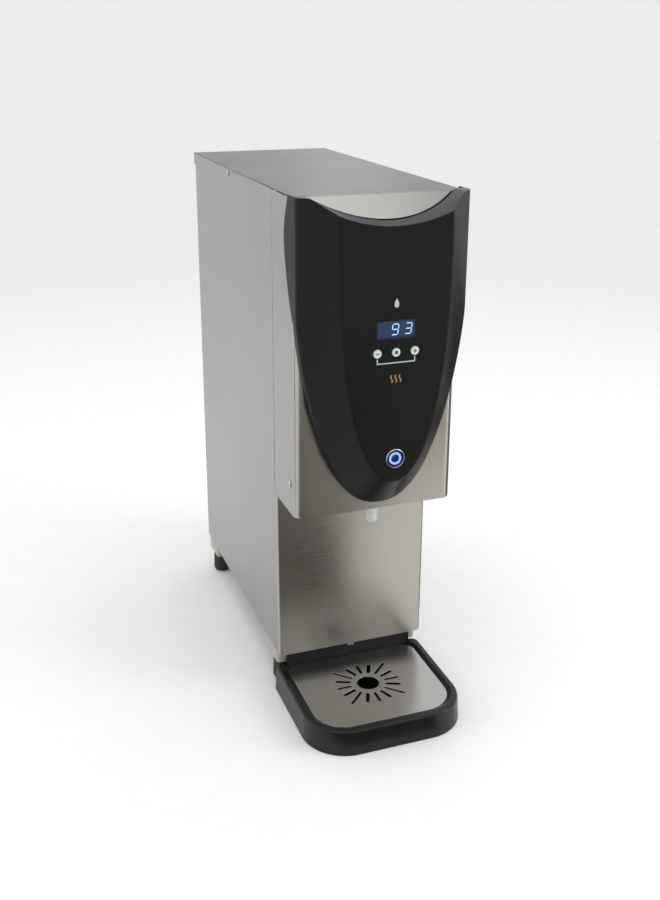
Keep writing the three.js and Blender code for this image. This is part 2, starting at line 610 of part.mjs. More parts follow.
// ---------- electrical ----------
function addElectrics() {
  const board = block([-84.5, -82.9], [25, 125], [190, 330]);
  const relays = [210, 240].map((z) => block([-83.5, -64], [40, 70], [z, z + 24]));
  const heatSink = block([-83.5, -60], [85, 115], [270, 320]);
  const fins = [0, 1, 2, 3].map((i) => block([-78, -55], [88 + 7 * i, 91 + 7 * i], [265, 325]));
  add('power_board', 'board', join(board, ...relays, heatSink, ...fins));

  const rail = block([-78, -22], [90, 112], [49, 58]);
  const barriers = [0, 1, 2, 3].map((i) => block([-78 + 18 * i, -76 + 18 * i], [90, 112], [57, 68]));
  add('terminal_block', 'blackPlastic', join(rail, ...barriers));

  add('cord_gland', 'blackPlastic', turnedForward([
    [4, -14], [7, -14], [11, -9], [11, -gap], [7.9, -gap], [7.9, 12], [4, 12], [4, -14]], [gland.x, gland.z], 16));
}

function addPowerSwitch() {
  const { x, z, halfWide, halfHigh } = powerSwitch;
  const flange = block([x - halfWide - 2.5, x + halfWide + 2.5], [-2.2, -gap], [z - halfHigh - 2.5, z + halfHigh + 2.5]);
  const body = block([x - halfWide, x + halfWide], [-1, 20], [z - halfHigh, z + halfHigh]);
  const well = block([x - halfWide + 2, x + halfWide - 2], [-5, 8], [z - halfHigh + 1.7, z + halfHigh - 1.7]);
  add('power_switch_frame', 'blackPlastic', cut(join(flange, body), well));

  // The rocker is a slice of a cylinder about its pivot with a shallow V across its face
  const radius = 8;
  const outline = [];
  for (let i = 0; i <= 6; i += 1) {
    const angle = (110 - 8 * i) * deg - 0.02;
    outline.push([-radius * Math.cos(angle), radius * Math.sin(angle)]);
  }
  const mirrored = outline.map(([f, h]) => [f, -h]).reverse();
  const tilt = 7 * deg;
  const turned = [...outline, [-1.8, 0], ...mirrored].map(([f, h]) => [
    f * Math.cos(tilt) - h * Math.sin(tilt), z + f * Math.sin(tilt) + h * Math.cos(tilt)]);
  add('power_rocker', 'blackPlastic', across(turned, [x - halfWide + 2.4, x + halfWide - 2.4]));
}

// ---------- drip tray ----------
const trayHalf = 91;
const trayRecess = { half: 80.3, rear: 341.7, front: 475.3, rearRadius: 13, frontRadius: 36, floor: 25.2 };
const trayLip = { half: 78, rear: 336, front: 341, top: 43.2 };   // upstand in front of the legs
const gridClear = 0.6;           // play between the drip grid and its recess

function recessOutline(inset) {
  const { half, rear, front, rearRadius, frontRadius } = trayRecess;
  return footprint(half - inset, rear + inset, front - inset, rearRadius - inset, frontRadius - inset);
}

function addDripTray() {
  const ring = (grow, z) => levelRing(footprint(trayHalf + grow, trayRear, trayFront + grow, 9, 48), 5, z);
  const outside = loft([ring(trayFlare, 0), ring(trayFlare - 0.2, 3), ring(0, trayHeight)]);
  const inner = (inset, z) => levelRing(recessOutline(inset), 5, z);
  const { floor } = trayRecess;
  const recess = loft([inner(0, floor), inner(0, floor + 1.2), inner(-4, trayHeight + 0.1)]);
  const basin = loft([inner(9, 3), inner(5, 12), inner(5, floor + 0.8)]);
  const lip = block([-trayLip.half, trayLip.half], [trayLip.rear, trayLip.front], [floor + 0.8, trayLip.top]);
  add('drip_tray', 'blackPlastic', join(cut(outside, recess, basin), lip));
}

function addDripGrid() {
  const base = trayRecess.floor + gap;
  const plate = raised(recessOutline(gridClear), [base, base + 1.2]);
  const slot = (inner, outer, width, angle) => {
    const shape = new THREE.Shape();
    const half = width / 2;
    shape.absarc(outer - half, 0, half, -90 * deg, 90 * deg);
    shape.absarc(inner + half, 0, half, 90 * deg, 270 * deg);
    return solid(extrude(shape, 5).rotateZ(angle * deg).translate(0, at(spoutDepth), 24));
  };
  const slots = [];
  for (let quarter = 0; quarter < 4; quarter += 1) {
    const turn = 90 * quarter;
    slots.push(slot(21, 37, 2.5, turn), slot(21, 38, 4, turn + 22.5), slot(21, 45.5, 2.5, turn + 45),
      slot(21, 38, 4, turn + 67.5));
  }
  const centre = turnedUp(rod(12, 24, 29), [0, spoutDepth]);
  add('drip_grid', 'steel', cut(plate, centre, ...slots));
}

addBasePan();
addSidePanels();
addBackPanel();
addSplashPanel();
addLid();
addHood();
addHoodUnderplate();
addFascia();
addDisplay();
addControlBoard();
addKeys();
addPushButton();
addTank();
addTankLid();
addFillLine();
addDrain();
addDispenseLine();
addElectrics();
addPowerSwitch();
addDripTray();
addDripGrid();
addCornerLegs();
addLevellingFeet();
addScrews();

export default dispenser;
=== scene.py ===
"""Looks of the countertop hot-water dispenser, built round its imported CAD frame."""

import math
from collections import namedtuple

import bmesh
import bpy
from mathutils import Matrix, Vector


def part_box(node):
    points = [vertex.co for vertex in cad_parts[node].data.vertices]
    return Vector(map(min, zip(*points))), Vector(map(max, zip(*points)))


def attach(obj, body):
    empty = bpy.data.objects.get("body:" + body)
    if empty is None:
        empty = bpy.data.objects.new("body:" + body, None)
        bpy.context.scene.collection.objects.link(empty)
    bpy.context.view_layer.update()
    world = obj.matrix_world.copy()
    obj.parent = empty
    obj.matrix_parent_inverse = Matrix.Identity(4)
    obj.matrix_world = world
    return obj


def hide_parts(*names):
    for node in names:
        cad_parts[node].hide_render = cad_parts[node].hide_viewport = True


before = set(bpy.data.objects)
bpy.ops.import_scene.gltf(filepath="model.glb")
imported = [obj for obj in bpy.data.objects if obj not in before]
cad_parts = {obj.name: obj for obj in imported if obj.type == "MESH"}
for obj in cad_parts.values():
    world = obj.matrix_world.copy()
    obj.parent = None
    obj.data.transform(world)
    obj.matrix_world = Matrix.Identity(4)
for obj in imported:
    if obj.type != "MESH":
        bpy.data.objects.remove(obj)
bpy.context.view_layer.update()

# ---------- driving dimensions, in millimetres ----------
MM = 0.001
SHEET = 1.0                     # steel sheet thickness
GAP = 0.3                       # clearance between neighbouring pieces
ARC_STEPS = 14                  # steps round a quarter turn
SIDEWAYS = 0.97                 # least sideways lean of a face that counts as a side

HOOD_BEND = 10.0                # radius of the hood's front corners
SPLASH_BEND = 3.0               # radius of the splash panel's side bends
SPLASH_CORNER = 4.5             # rounding of the splash panel's lower corners
LID_BEND = 1.5                  # radius of the lid's folds
LID_FLANGE_FRONT = 303.7        # depth where the lid's side flanges end
LID_FLANGE_BOTTOM = 575.5
WINDOW_HALF = 50.0              # opening in the hood behind the fascia
WINDOW_BOTTOM = 315.0
WINDOW_TOP = 555.0

FASCIA_TIP = 265.0
FASCIA_SHOULDER = 472.0
FASCIA_CURVE = (1.4, 2.33)      # powers that shape the outline's tip and its shoulder
FASCIA_HALF = 92.0
FASCIA_EDGE = 12.0              # how far the fascia's front edge stands out from the hood
FASCIA_WALL = 2.5
FASCIA_ROUNDING = 3.2           # radius of its soft front edge
TONGUE_TIP = 304.5
TONGUE_SHOULDER = 580.0
TONGUE_HALF = 59.0
TONGUE_CURVE = (2.7, 2.0)
TONGUE_REACH = 50.0             # how far the tongue's tip stands out from the hood
TONGUE_LEAN = 0.023             # backward lean of the tongue for each millimetre of height
TONGUE_ROUNDING = 1.6
ARCH_RADIUS = 152.0
ARCH_FLOOR = 568.5              # lowest height of the arched top edge
ARCH_FLAT = 27.0                # how far in front of the hood the arch stays level
ARCH_DIP = 8.2                  # how far it has dropped 43 mm further forward
BROW_HALF = 77.0
BROW_REACH = 31.0
BROW_DROP = 0.796               # drop of the lid's brow for each millimetre forward
BROW_FOLD_END = 0.6             # forward lean where the fold, painted bright as a highlight, ends and the flat brow begins

RIM_TOP = 29.0                  # height of the tray's rim
LIP_HALF = 78.0                 # upstand at the tray's rear, in front of the legs
LIP_DEPTHS = (336.0, 341.0)

KEY_PITCH = 20.0
KEY_RADIUS = 4.3
SPOUT_DEPTH = 403.6

# ---------- places, taken from the frame ----------
back_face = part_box("back_panel")[1].y
Span = namedtuple("Span", "left right rear front bottom top")


def span(node):
    """A CAD node's limits in millimetres; rear and front are depths from the back panel's outer face."""
    low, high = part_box(node)
    depths = (back_face - high.y) / MM, (back_face - low.y) / MM
    return Span(low.x / MM, high.x / MM, *depths, low.z / MM, high.z / MM)


def centre(node):
    """The middle of a CAD node as (x, depth, z) in millimetres."""
    limits = span(node)
    return (limits.left + limits.right) / 2, (limits.rear + limits.front) / 2, (limits.bottom + limits.top) / 2


hood = span("hood_wrap")
lid = span("top_lid")
splash = span("splash_panel")
tray = span("drip_tray")
grid = span("drip_grid")
fascia = span("front_fascia")
lens = span("display_lens")
key_z = centre("stop_key")[2]
button_z = centre("dispense_button")[2]


def tongue_face(z):
    """Depth of the tongue's face at a height."""
    return hood.front + TONGUE_REACH - TONGUE_LEAN * (z - TONGUE_TIP)


# ---------- mesh tools ----------
def place(x, depth, z):
    return Vector((x * MM, back_face - depth * MM, z * MM))


def new_piece(name, points, faces):
    mesh = bpy.data.meshes.new(name)
    mesh.from_pydata([place(*point) for point in points], [], faces)
    piece = bpy.data.objects.new(name, mesh)
    bpy.context.scene.collection.objects.link(piece)
    edit = bmesh.new()
    edit.from_mesh(mesh)
    bmesh.ops.remove_doubles(edit, verts=edit.verts, dist=1e-6)
    bmesh.ops.dissolve_degenerate(edit, edges=edit.edges, dist=1e-7)
    bmesh.ops.recalc_face_normals(edit, faces=edit.faces)
    edit.to_mesh(mesh)
    edit.free()
    return piece


def loft(name, rings, looped=False):
    """A body through rings of equal length, capped at both ends unless it loops back to its first ring."""
    count = len(rings[0])
    stations = len(rings)
    faces = []
    for ring in range(stations if looped else stations - 1):
        here, there = ring * count, (ring + 1) % stations * count
        for i in range(count):
            j = (i + 1) % count
            faces.append((here + i, here + j, there + j, there + i))
    if not looped:
        faces.append(tuple(range(count)))
        faces.append(tuple(range((stations - 1) * count, stations * count)))
    return new_piece(name, [point for ring in rings for point in ring], faces)


def extrude(name, outline, axis, limits):
    """An outline stretched along an axis: (x, depth) along z, (x, z) along depth, or (depth, z) along x."""
    lift = {
        "z": lambda a, b, c: (a, b, c),
        "depth": lambda a, b, c: (a, c, b),
        "x": lambda a, b, c: (c, a, b),
    }[axis]
    return loft(name, [[lift(a, b, c) for a, b in outline] for c in limits])


def block(name, x, depth, z):
    corners = [(x[0], depth[0]), (x[1], depth[0]), (x[1], depth[1]), (x[0], depth[1])]
    return extrude(name, corners, "z", z)


def lathe(name, profile, axis, middle, segments=64, start=0.0):
    """A turned body. Its profile is [radius, distance along the axis] and the axis passes through the middle."""
    turns = [start + 2 * math.pi * i / segments for i in range(segments)]
    lift = {
        "z": lambda a, b, s: (middle[0] + a, middle[1] + b, s),
        "depth": lambda a, b, s: (middle[0] + a, s, middle[1] + b),
        "x": lambda a, b, s: (s, middle[0] + a, middle[1] + b),
    }[axis]
    rings = [[lift(r * math.cos(t), r * math.sin(t), s) for t in turns] for r, s in profile]
    return loft(name, rings, looped=profile[0][0] > 0)


def arc(middle, radius, start, end, steps=ARC_STEPS):
    """Points on an arc, its angles in degrees."""
    angles = [math.radians(start + (end - start) * i / steps) for i in range(steps + 1)]
    return [(middle[0] + radius * math.cos(a), middle[1] + radius * math.sin(a)) for a in angles]


def footprint(half, rear, front, rear_radius, front_radius):
    """A rectangle in width and depth with its own radius at its rear and at its front corners."""
    return [
        *arc((-half + rear_radius, rear + rear_radius), rear_radius, 180, 270),
        *arc((half - rear_radius, rear + rear_radius), rear_radius, 270, 360),
        *arc((half - front_radius, front - front_radius), front_radius, 0, 90),
        *arc((-half + front_radius, front - front_radius), front_radius, 90, 180),
    ]


def rounded_box(middle, half_wide, half_high, radius, steps=6):
    """A rectangle with rounded corners."""
    (x, z), w, h = middle, half_wide - radius, half_high - radius
    corners = [(x + w, z + h, 0), (x - w, z + h, 90), (x - w, z - h, 180), (x + w, z - h, 270)]
    return [point for a, b, turn in corners for point in arc((a, b), radius, turn, turn + 90, steps)]


def wrap(half, rear, front, bend, sheet=SHEET):
    """The plan of a sheet bent round a front with open ends at the rear."""
    outer = [
        (-half, rear), *arc((-half + bend, front - bend), bend, 180, 90),
        *arc((half - bend, front - bend), bend, 90, 0), (half, rear),
    ]
    inner_bend = bend - sheet
    inner = [
        (half - sheet, rear), *arc((half - bend, front - bend), inner_bend, 0, 90),
        *arc((-half + bend, front - bend), inner_bend, 90, 180), (-half + sheet, rear),
    ]
    return outer + inner


def apply_modifiers(piece):
    evaluated = piece.evaluated_get(bpy.context.evaluated_depsgraph_get())
    mesh = bpy.data.meshes.new_from_object(evaluated)
    piece.modifiers.clear()
    piece.data = mesh


def combine(piece, tools, operation):
    for tool in tools:
        step = piece.modifiers.new("combine", "BOOLEAN")
        step.solver = "MANIFOLD"
        step.operation = operation
        step.object = tool
    apply_modifiers(piece)
    for tool in tools:
        bpy.data.objects.remove(tool)
    return piece


def cut(piece, *tools):
    return combine(piece, tools, "DIFFERENCE")


def join(piece, *tools):
    return combine(piece, tools, "UNION")


def round_edges(piece, chosen, radius, steps=5):
    """Rounds the edges that chosen picks by their two ends, each (x, depth, z) in millimetres."""
    def ends(edge):
        return [(v.co.x / MM, (back_face - v.co.y) / MM, v.co.z / MM) for v in edge.verts]

    edit = bmesh.new()
    edit.from_mesh(piece.data)
    edges = [edge for edge in edit.edges if chosen(*ends(edge))]
    bmesh.ops.bevel(edit, geom=edges, offset=radius * MM, segments=steps, profile=0.5, affect="EDGES",
                    clamp_overlap=False)
    edit.to_mesh(piece.data)
    edit.free()
    return piece


def soften(piece, width, steps=3, angle=38):
    """Breaks the sharp edges. Their faces take the piece's last material: on steel pieces a brighter edge steel, edge
    wear with a painted highlight, and on the fascia its lighter top look, a painted highlight.
    """
    bevel = piece.modifiers.new("soften", "BEVEL")
    bevel.width = width * MM
    bevel.segments = steps
    bevel.limit_method = "ANGLE"
    bevel.angle_limit = math.radians(angle)
    bevel.use_clamp_overlap = False
    bevel.miter_outer = "MITER_ARC"
    bevel.material = len(piece.data.materials) - 1
    apply_modifiers(piece)
    return piece


def painted_shade_by_facing(normal):
    """The second look for faces that point left or right, and the first for the rest: light and shade painted by
    which way a face points.
    """
    return 1 if abs(normal.x) > SIDEWAYS else 0


def finish_piece(piece, body, looks, replaces=(), width=0.0, steps=3, angle=38, choose=None):
    """Gives a piece its materials, soft edges and smooth shading, and hangs it on its CAD body.

    The looks are numbered from 0, and choose picks one for each face by the way it points, so lit and shaded copies
    of a look paint light and shade by facing.
    """
    piece.data.materials.clear()
    for look in looks:
        piece.data.materials.append(look)
    if choose:
        for face in piece.data.polygons:
            face.material_index = choose(face.normal)
    if width:
        soften(piece, width, steps, angle)
    piece.data.shade_smooth()
    piece.data.set_sharp_from_angle(angle=math.radians(40))
    weighted = piece.modifiers.new("weighted", "WEIGHTED_NORMAL")
    weighted.keep_sharp = True
    apply_modifiers(piece)
    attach(piece, body)
    if replaces:
        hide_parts(*replaces)
    return piece


# ---------- material tools ----------
class Look:
    """A node material under construction."""

    def __init__(self, name, colour, metallic=0.0, roughness=0.5, **sockets):
        self.material = bpy.data.materials.new(name)
        self.material.use_nodes = True
        self.material.diffuse_color = (*colour, 1)
        self.tree = self.material.node_tree
        self.shader = self.tree.nodes["Principled BSDF"]
        self.shader.inputs["Base Color"].default_value = (*colour, 1)
        self.shader.inputs["Metallic"].default_value = metallic
        self.shader.inputs["Roughness"].default_value = roughness
        for socket, value in sockets.items():
            self.shader.inputs[socket.replace("_", " ")].default_value = value
        self.coordinates = self.tree.nodes.new("ShaderNodeTexCoord").outputs["Object"]

    def link(self, source, target):
        self.tree.links.new(source, target)

    def noise(self, per_metre, detail=2.0, rough=0.5):
        """Noise with its own count of features for each metre along X, Y and Z."""
        mapping = self.tree.nodes.new("ShaderNodeMapping")
        mapping.inputs["Scale"].default_value = per_metre
        self.link(self.coordinates, mapping.inputs["Vector"])
        texture = self.tree.nodes.new("ShaderNodeTexNoise")
        texture.inputs["Scale"].default_value = 1
        texture.inputs["Detail"].default_value = detail
        texture.inputs["Roughness"].default_value = rough
        self.link(mapping.outputs["Vector"], texture.inputs["Vector"])
        return texture.outputs["Fac"]

    def remap(self, value, low, high, to_low, to_high):
        node = self.tree.nodes.new("ShaderNodeMapRange")
        for socket, number in zip(("From Min", "From Max", "To Min", "To Max"), (low, high, to_low, to_high)):
            node.inputs[socket].default_value = number
        self.link(value, node.inputs["Value"])
        return node.outputs["Result"]

    def add(self, *values):
        total = values[0]
        for value in values[1:]:
            node = self.tree.nodes.new("ShaderNodeMath")
            node.operation = "ADD"
            self.link(total, node.inputs[0])
            self.link(value, node.inputs[1])
            total = node.outputs["Value"]
        return total

    def colour(self, factor, stops):
        ramp = self.tree.nodes.new("ShaderNodeValToRGB")
        elements = ramp.color_ramp.elements
        for element, (position, tone) in zip(elements, (stops[0], stops[-1])):
            element.position = position
            element.color = (*tone, 1)
        for position, tone in stops[1:-1]:
            elements.new(position).color = (*tone, 1)
        self.link(factor, ramp.inputs["Fac"])
        self.link(ramp.outputs["Color"], self.shader.inputs["Base Color"])

    def roughness(self, value):
        self.link(value, self.shader.inputs["Roughness"])

    def bump(self, height, strength, depth):
        node = self.tree.nodes.new("ShaderNodeBump")
        node.inputs["Strength"].default_value = strength
        node.inputs["Distance"].default_value = depth * MM
        self.link(height, node.inputs["Height"])
        self.link(node.outputs["Normal"], self.shader.inputs["Normal"])

    def tangent(self, axis):
        node = self.tree.nodes.new("ShaderNodeTangent")
        node.direction_type = "RADIAL"
        node.axis = axis
        self.link(node.outputs["Tangent"], self.shader.inputs["Tangent"])


def shade_of(colour, factor):
    return tuple(channel * factor for channel in colour)


def brushed_steel(name, colour, grain, tangent, turn, roughness=0.34, depth=0.008):
    """Stainless steel: a fine directional grain, longer drawn marks and faint smudges."""
    look = Look(name, colour, metallic=1.0, Anisotropic=0.5, Anisotropic_Rotation=turn)
    look.tangent(tangent)
    fine = look.noise([12 if axis == grain else 2600 for axis in "XYZ"], detail=3, rough=0.6)
    drawn = look.noise([4 if axis == grain else 800 for axis in "XYZ"], detail=2)
    smudge = look.noise((7, 7, 7), detail=3)
    mixed = look.add(look.remap(fine, 0.3, 0.7, -0.2, 0.2), look.remap(drawn, 0.3, 0.7, -0.1, 0.1),
                     look.remap(smudge, 0.3, 0.7, 0.4, 0.6))
    look.colour(mixed, [(0.1, shade_of(colour, 0.96)), (0.5, colour), (0.9, shade_of(colour, 1.03))])
    look.roughness(look.add(look.remap(fine, 0.3, 0.7, roughness - 0.012, roughness + 0.012),
                            look.remap(smudge, 0.35, 0.7, -0.02, 0.03)))
    look.bump(fine, 0.07, depth)
    return look.material


def bare_steel(name, colour, roughness):
    """A broken or bent edge of steel, brighter than the face beside it: edge wear and a painted highlight along the
    edge.
    """
    look = Look(name, colour, metallic=1.0)
    worn = look.noise((160, 160, 160), detail=3)
    look.colour(worn, [(0.3, shade_of(colour, 0.85)), (0.7, shade_of(colour, 1.08))])
    look.roughness(look.remap(worn, 0.3, 0.7, roughness - 0.06, roughness + 0.08))
    look.bump(worn, 0.2, 0.02)
    return look.material


def moulded(name, colour, roughness, pebble=0.03, size=900, spread=0.12, **sockets):
    """Moulded plastic: a fine pebbled surface with faint flow and handling marks."""
    look = Look(name, colour, **sockets)
    grain = look.noise((size, size, size), detail=2)
    flow = look.noise((14, 14, 7), detail=3)
    look.colour(look.add(look.remap(grain, 0.3, 0.7, -0.1, 0.1), flow),
                [(0.25, shade_of(colour, 1 - spread)), (0.75, shade_of(colour, 1 + spread))])
    look.roughness(look.add(look.remap(flow, 0.3, 0.7, roughness - 0.04, roughness + 0.04),
                            look.remap(grain, 0.3, 0.7, -0.03, 0.03)))
    look.bump(grain, 0.5, pebble)
    return look.material


def glowing(name, colour, strength, base):
    """A lit, slightly uneven translucent surface."""
    look = Look(name, base, roughness=0.3, Emission_Strength=strength)
    uneven = look.noise((260, 260, 260), detail=2)
    look.colour(uneven, [(0.3, shade_of(base, 0.8)), (0.7, base)])
    ramp = look.tree.nodes.new("ShaderNodeValToRGB")
    ramp.color_ramp.elements[0].color = (*shade_of(colour, 0.85), 1)
    ramp.color_ramp.elements[1].color = (*colour, 1)
    look.link(uneven, ramp.inputs["Fac"])
    look.link(ramp.outputs["Color"], look.shader.inputs["Emission Color"])
    look.roughness(look.remap(uneven, 0.3, 0.7, 0.25, 0.35))
    look.bump(uneven, 0.1, 0.02)
    return look.material


# ---------- materials ----------
STEEL = (0.345, 0.35, 0.338)
wall_steel = brushed_steel("wall_steel", STEEL, "Y", "Z", 0.25)
# front, top and brow steel are lit and shaded copies of the wall steel: the front painted lighter and warmer, the
# lid's top and brow painted darker, painted light and shade by facing
front_steel_painted_light = brushed_steel("front_steel_painted_light", (0.465, 0.443, 0.4), "X", "Z", 0.25, roughness=0.29, depth=0.001)
top_steel_painted_shade = brushed_steel("top_steel_painted_shade", (0.198, 0.2, 0.188), "X", "X", 0.0, roughness=0.33)
brow_steel_painted_light = brushed_steel("brow_steel_painted_light", (0.268, 0.27, 0.254), "X", "X", 0.0, roughness=0.3)
grid_steel = brushed_steel("grid_steel", (0.5, 0.495, 0.475), "X", "X", 0.0, roughness=0.24)
back_steel = brushed_steel("back_steel", STEEL, "Z", "Z", 0.0, roughness=0.36)
inner_steel = brushed_steel("inner_steel", (0.5, 0.5, 0.485), "Z", "Z", 0.0, roughness=0.42)
# bevels and the lid's fold take this brighter steel: edge wear and a painted highlight
edge_wear_and_highlight = bare_steel("edge_wear_and_highlight", (0.52, 0.515, 0.5), 0.3)
screw_steel = bare_steel("screw_steel", (0.62, 0.62, 0.61), 0.22)
polished = bare_steel("polished_chrome", (0.78, 0.79, 0.81), 0.12)
button_metal = bare_steel("button_metal", (0.06, 0.085, 0.4), 0.2)
brass = bare_steel("brass", (0.62, 0.45, 0.2), 0.3)
fascia_black = moulded("fascia_black", (0.0084, 0.0085, 0.0089), 0.34, Specular_IOR_Level=0.15)
# the fascia's sides take a duller copy of its black as painted shade, its upward faces and bevels a lighter, glossier
# copy as a painted highlight
fascia_side_painted_shade = moulded("fascia_side_painted_shade", (0.0084, 0.0088, 0.0098), 0.36, Specular_IOR_Level=0.09)
fascia_top_and_edge_highlight = moulded("fascia_top_and_edge_highlight", (0.018, 0.0205, 0.024), 0.3, Specular_IOR_Level=0.36)
tray_black = moulded("tray_black", (0.008, 0.0083, 0.0088), 0.31, Specular_IOR_Level=0.32)
hard_black = moulded("hard_black", (0.02, 0.02, 0.021), 0.42)
foot_rubber = moulded("foot_rubber", (0.014, 0.014, 0.015), 0.62, pebble=0.05, size=600)
leg_paint = moulded("leg_paint", (0.41, 0.385, 0.325), 0.42, size=500, spread=0.06)
key_plastic = moulded("key_plastic", (0.55, 0.66, 0.64), 0.45, spread=0.05)
print_pale = moulded("print_pale", (0.42, 0.52, 0.52), 0.5, spread=0.05)
print_amber = moulded("print_amber", (0.55, 0.3, 0.09), 0.5, spread=0.05)
print_dark = moulded("print_dark", (0.03, 0.05, 0.06), 0.5)
window = moulded("display_window", (0.024, 0.038, 0.105), 0.12, pebble=0.004, Coat_Weight=0.4, Coat_Roughness=0.08)
clear_plastic = moulded("clear_plastic", (0.72, 0.75, 0.72), 0.28, spread=0.04, Transmission_Weight=0.35)
board_green = moulded("board_green", (0.03, 0.16, 0.06), 0.45, spread=0.2)
foam = moulded("insulation_foam", (0.035, 0.035, 0.038), 0.85, pebble=0.3, size=300, spread=0.3)
silicone = moulded("silicone", (0.6, 0.56, 0.47), 0.5, spread=0.05)
nylon = moulded("valve_nylon", (0.7, 0.69, 0.64), 0.45, spread=0.04)
digit_glow = glowing("digit_glow", (0.4, 0.72, 1.0), 1.15, (0.1, 0.3, 0.4))
ring_glow = glowing("ring_glow", (0.27, 0.52, 1.0), 1.1, (0.06, 0.12, 0.4))


# ---------- steel panels ----------
def make_hood():
    """The hood is one sheet bent round its front corners, with a window behind the fascia."""
    plan = wrap(hood.right, hood.rear, hood.front, HOOD_BEND)
    shell = extrude("hood_shell", plan, "z", (hood.bottom, hood.top))
    window_tool = block("tool", (-WINDOW_HALF, WINDOW_HALF), (hood.front - 5, hood.front + 5),
                        (WINDOW_BOTTOM, WINDOW_TOP))
    screw = centre("hood_screw_left")
    holes = lathe("tool", [(0, -100), (2.3, -100), (2.3, 100), (0, 100)], "x", screw[1:])
    cut(shell, window_tool, holes)
    # front faces take the steel painted lighter, sides the wall steel, bevels the painted edge highlight
    finish_piece(shell, "cabinet", [front_steel_painted_light, wall_steel, edge_wear_and_highlight], ["hood_wrap"],
                 width=0.42, choose=painted_shade_by_facing)


def make_splash_panel():
    """The splash panel fills the front below the hood and wraps back round both sides of the cabinet."""
    plan = wrap(splash.right, splash.rear, splash.front, SPLASH_BEND)
    seam = hood.rear - 1.4
    skirt = span("left_side_panel").bottom
    sheet = extrude("splash_sheet", plan, "z", (skirt, splash.top))
    above = hood.bottom - GAP
    corner_room = [
        block("tool", sorted((side * 86, side * 100)), (seam, splash.front + 5), (above, splash.top + 5))
        for side in (-1, 1)]
    open_front = block("tool", (-87, 87), (seam, splash.front + 5), (hood.bottom + 22, splash.top + 5))
    corners = []
    for side in (-1, 1):
        edge = side * splash.right
        middle = (edge - side * SPLASH_CORNER, skirt + SPLASH_CORNER)
        turn = arc(middle, SPLASH_CORNER, 180 if side < 0 else 360, 270)
        outline = [*turn, (middle[0], skirt - 3), (edge + side * 3, skirt - 3), (edge + side * 3, middle[1])]
        corners.append(extrude("tool", outline, "depth", (splash.rear - 5, splash.front + 5)))
    cut(sheet, *corner_room, open_front, *corners)
    tab = extrude("tab", rounded_box((0, skirt - 1), 4, 2, 1.2), "depth", (splash.front - SHEET, splash.front))
    join(sheet, tab)
    # front faces take the steel painted lighter, sides the wall steel, bevels the painted edge highlight
    finish_piece(sheet, "cabinet", [front_steel_painted_light, wall_steel, edge_wear_and_highlight], ["splash_panel"],
                 width=0.4, choose=painted_shade_by_facing)


def arch_height(x, lower):
    return ARCH_FLOOR - lower + ARCH_RADIUS - math.sqrt(ARCH_RADIUS ** 2 - x ** 2)


def above_arch(lower, steps=96):
    """Everything above an arched surface that dips towards its middle, and a little towards the front."""
    half, ceiling = 100, 700
    stations = [(-60, 0), (ARCH_FLAT, 0), (70, ARCH_DIP)]
    rings = []
    for reach, dip in stations:
        depth = hood.front + reach
        xs = [-half + 2 * half * i / steps for i in range(steps + 1)]
        ring = [(x, depth, arch_height(x, lower) - dip) for x in xs]
        rings.append([*ring, (half, depth, ceiling), (-half, depth, ceiling)])
    return loft("tool", rings)


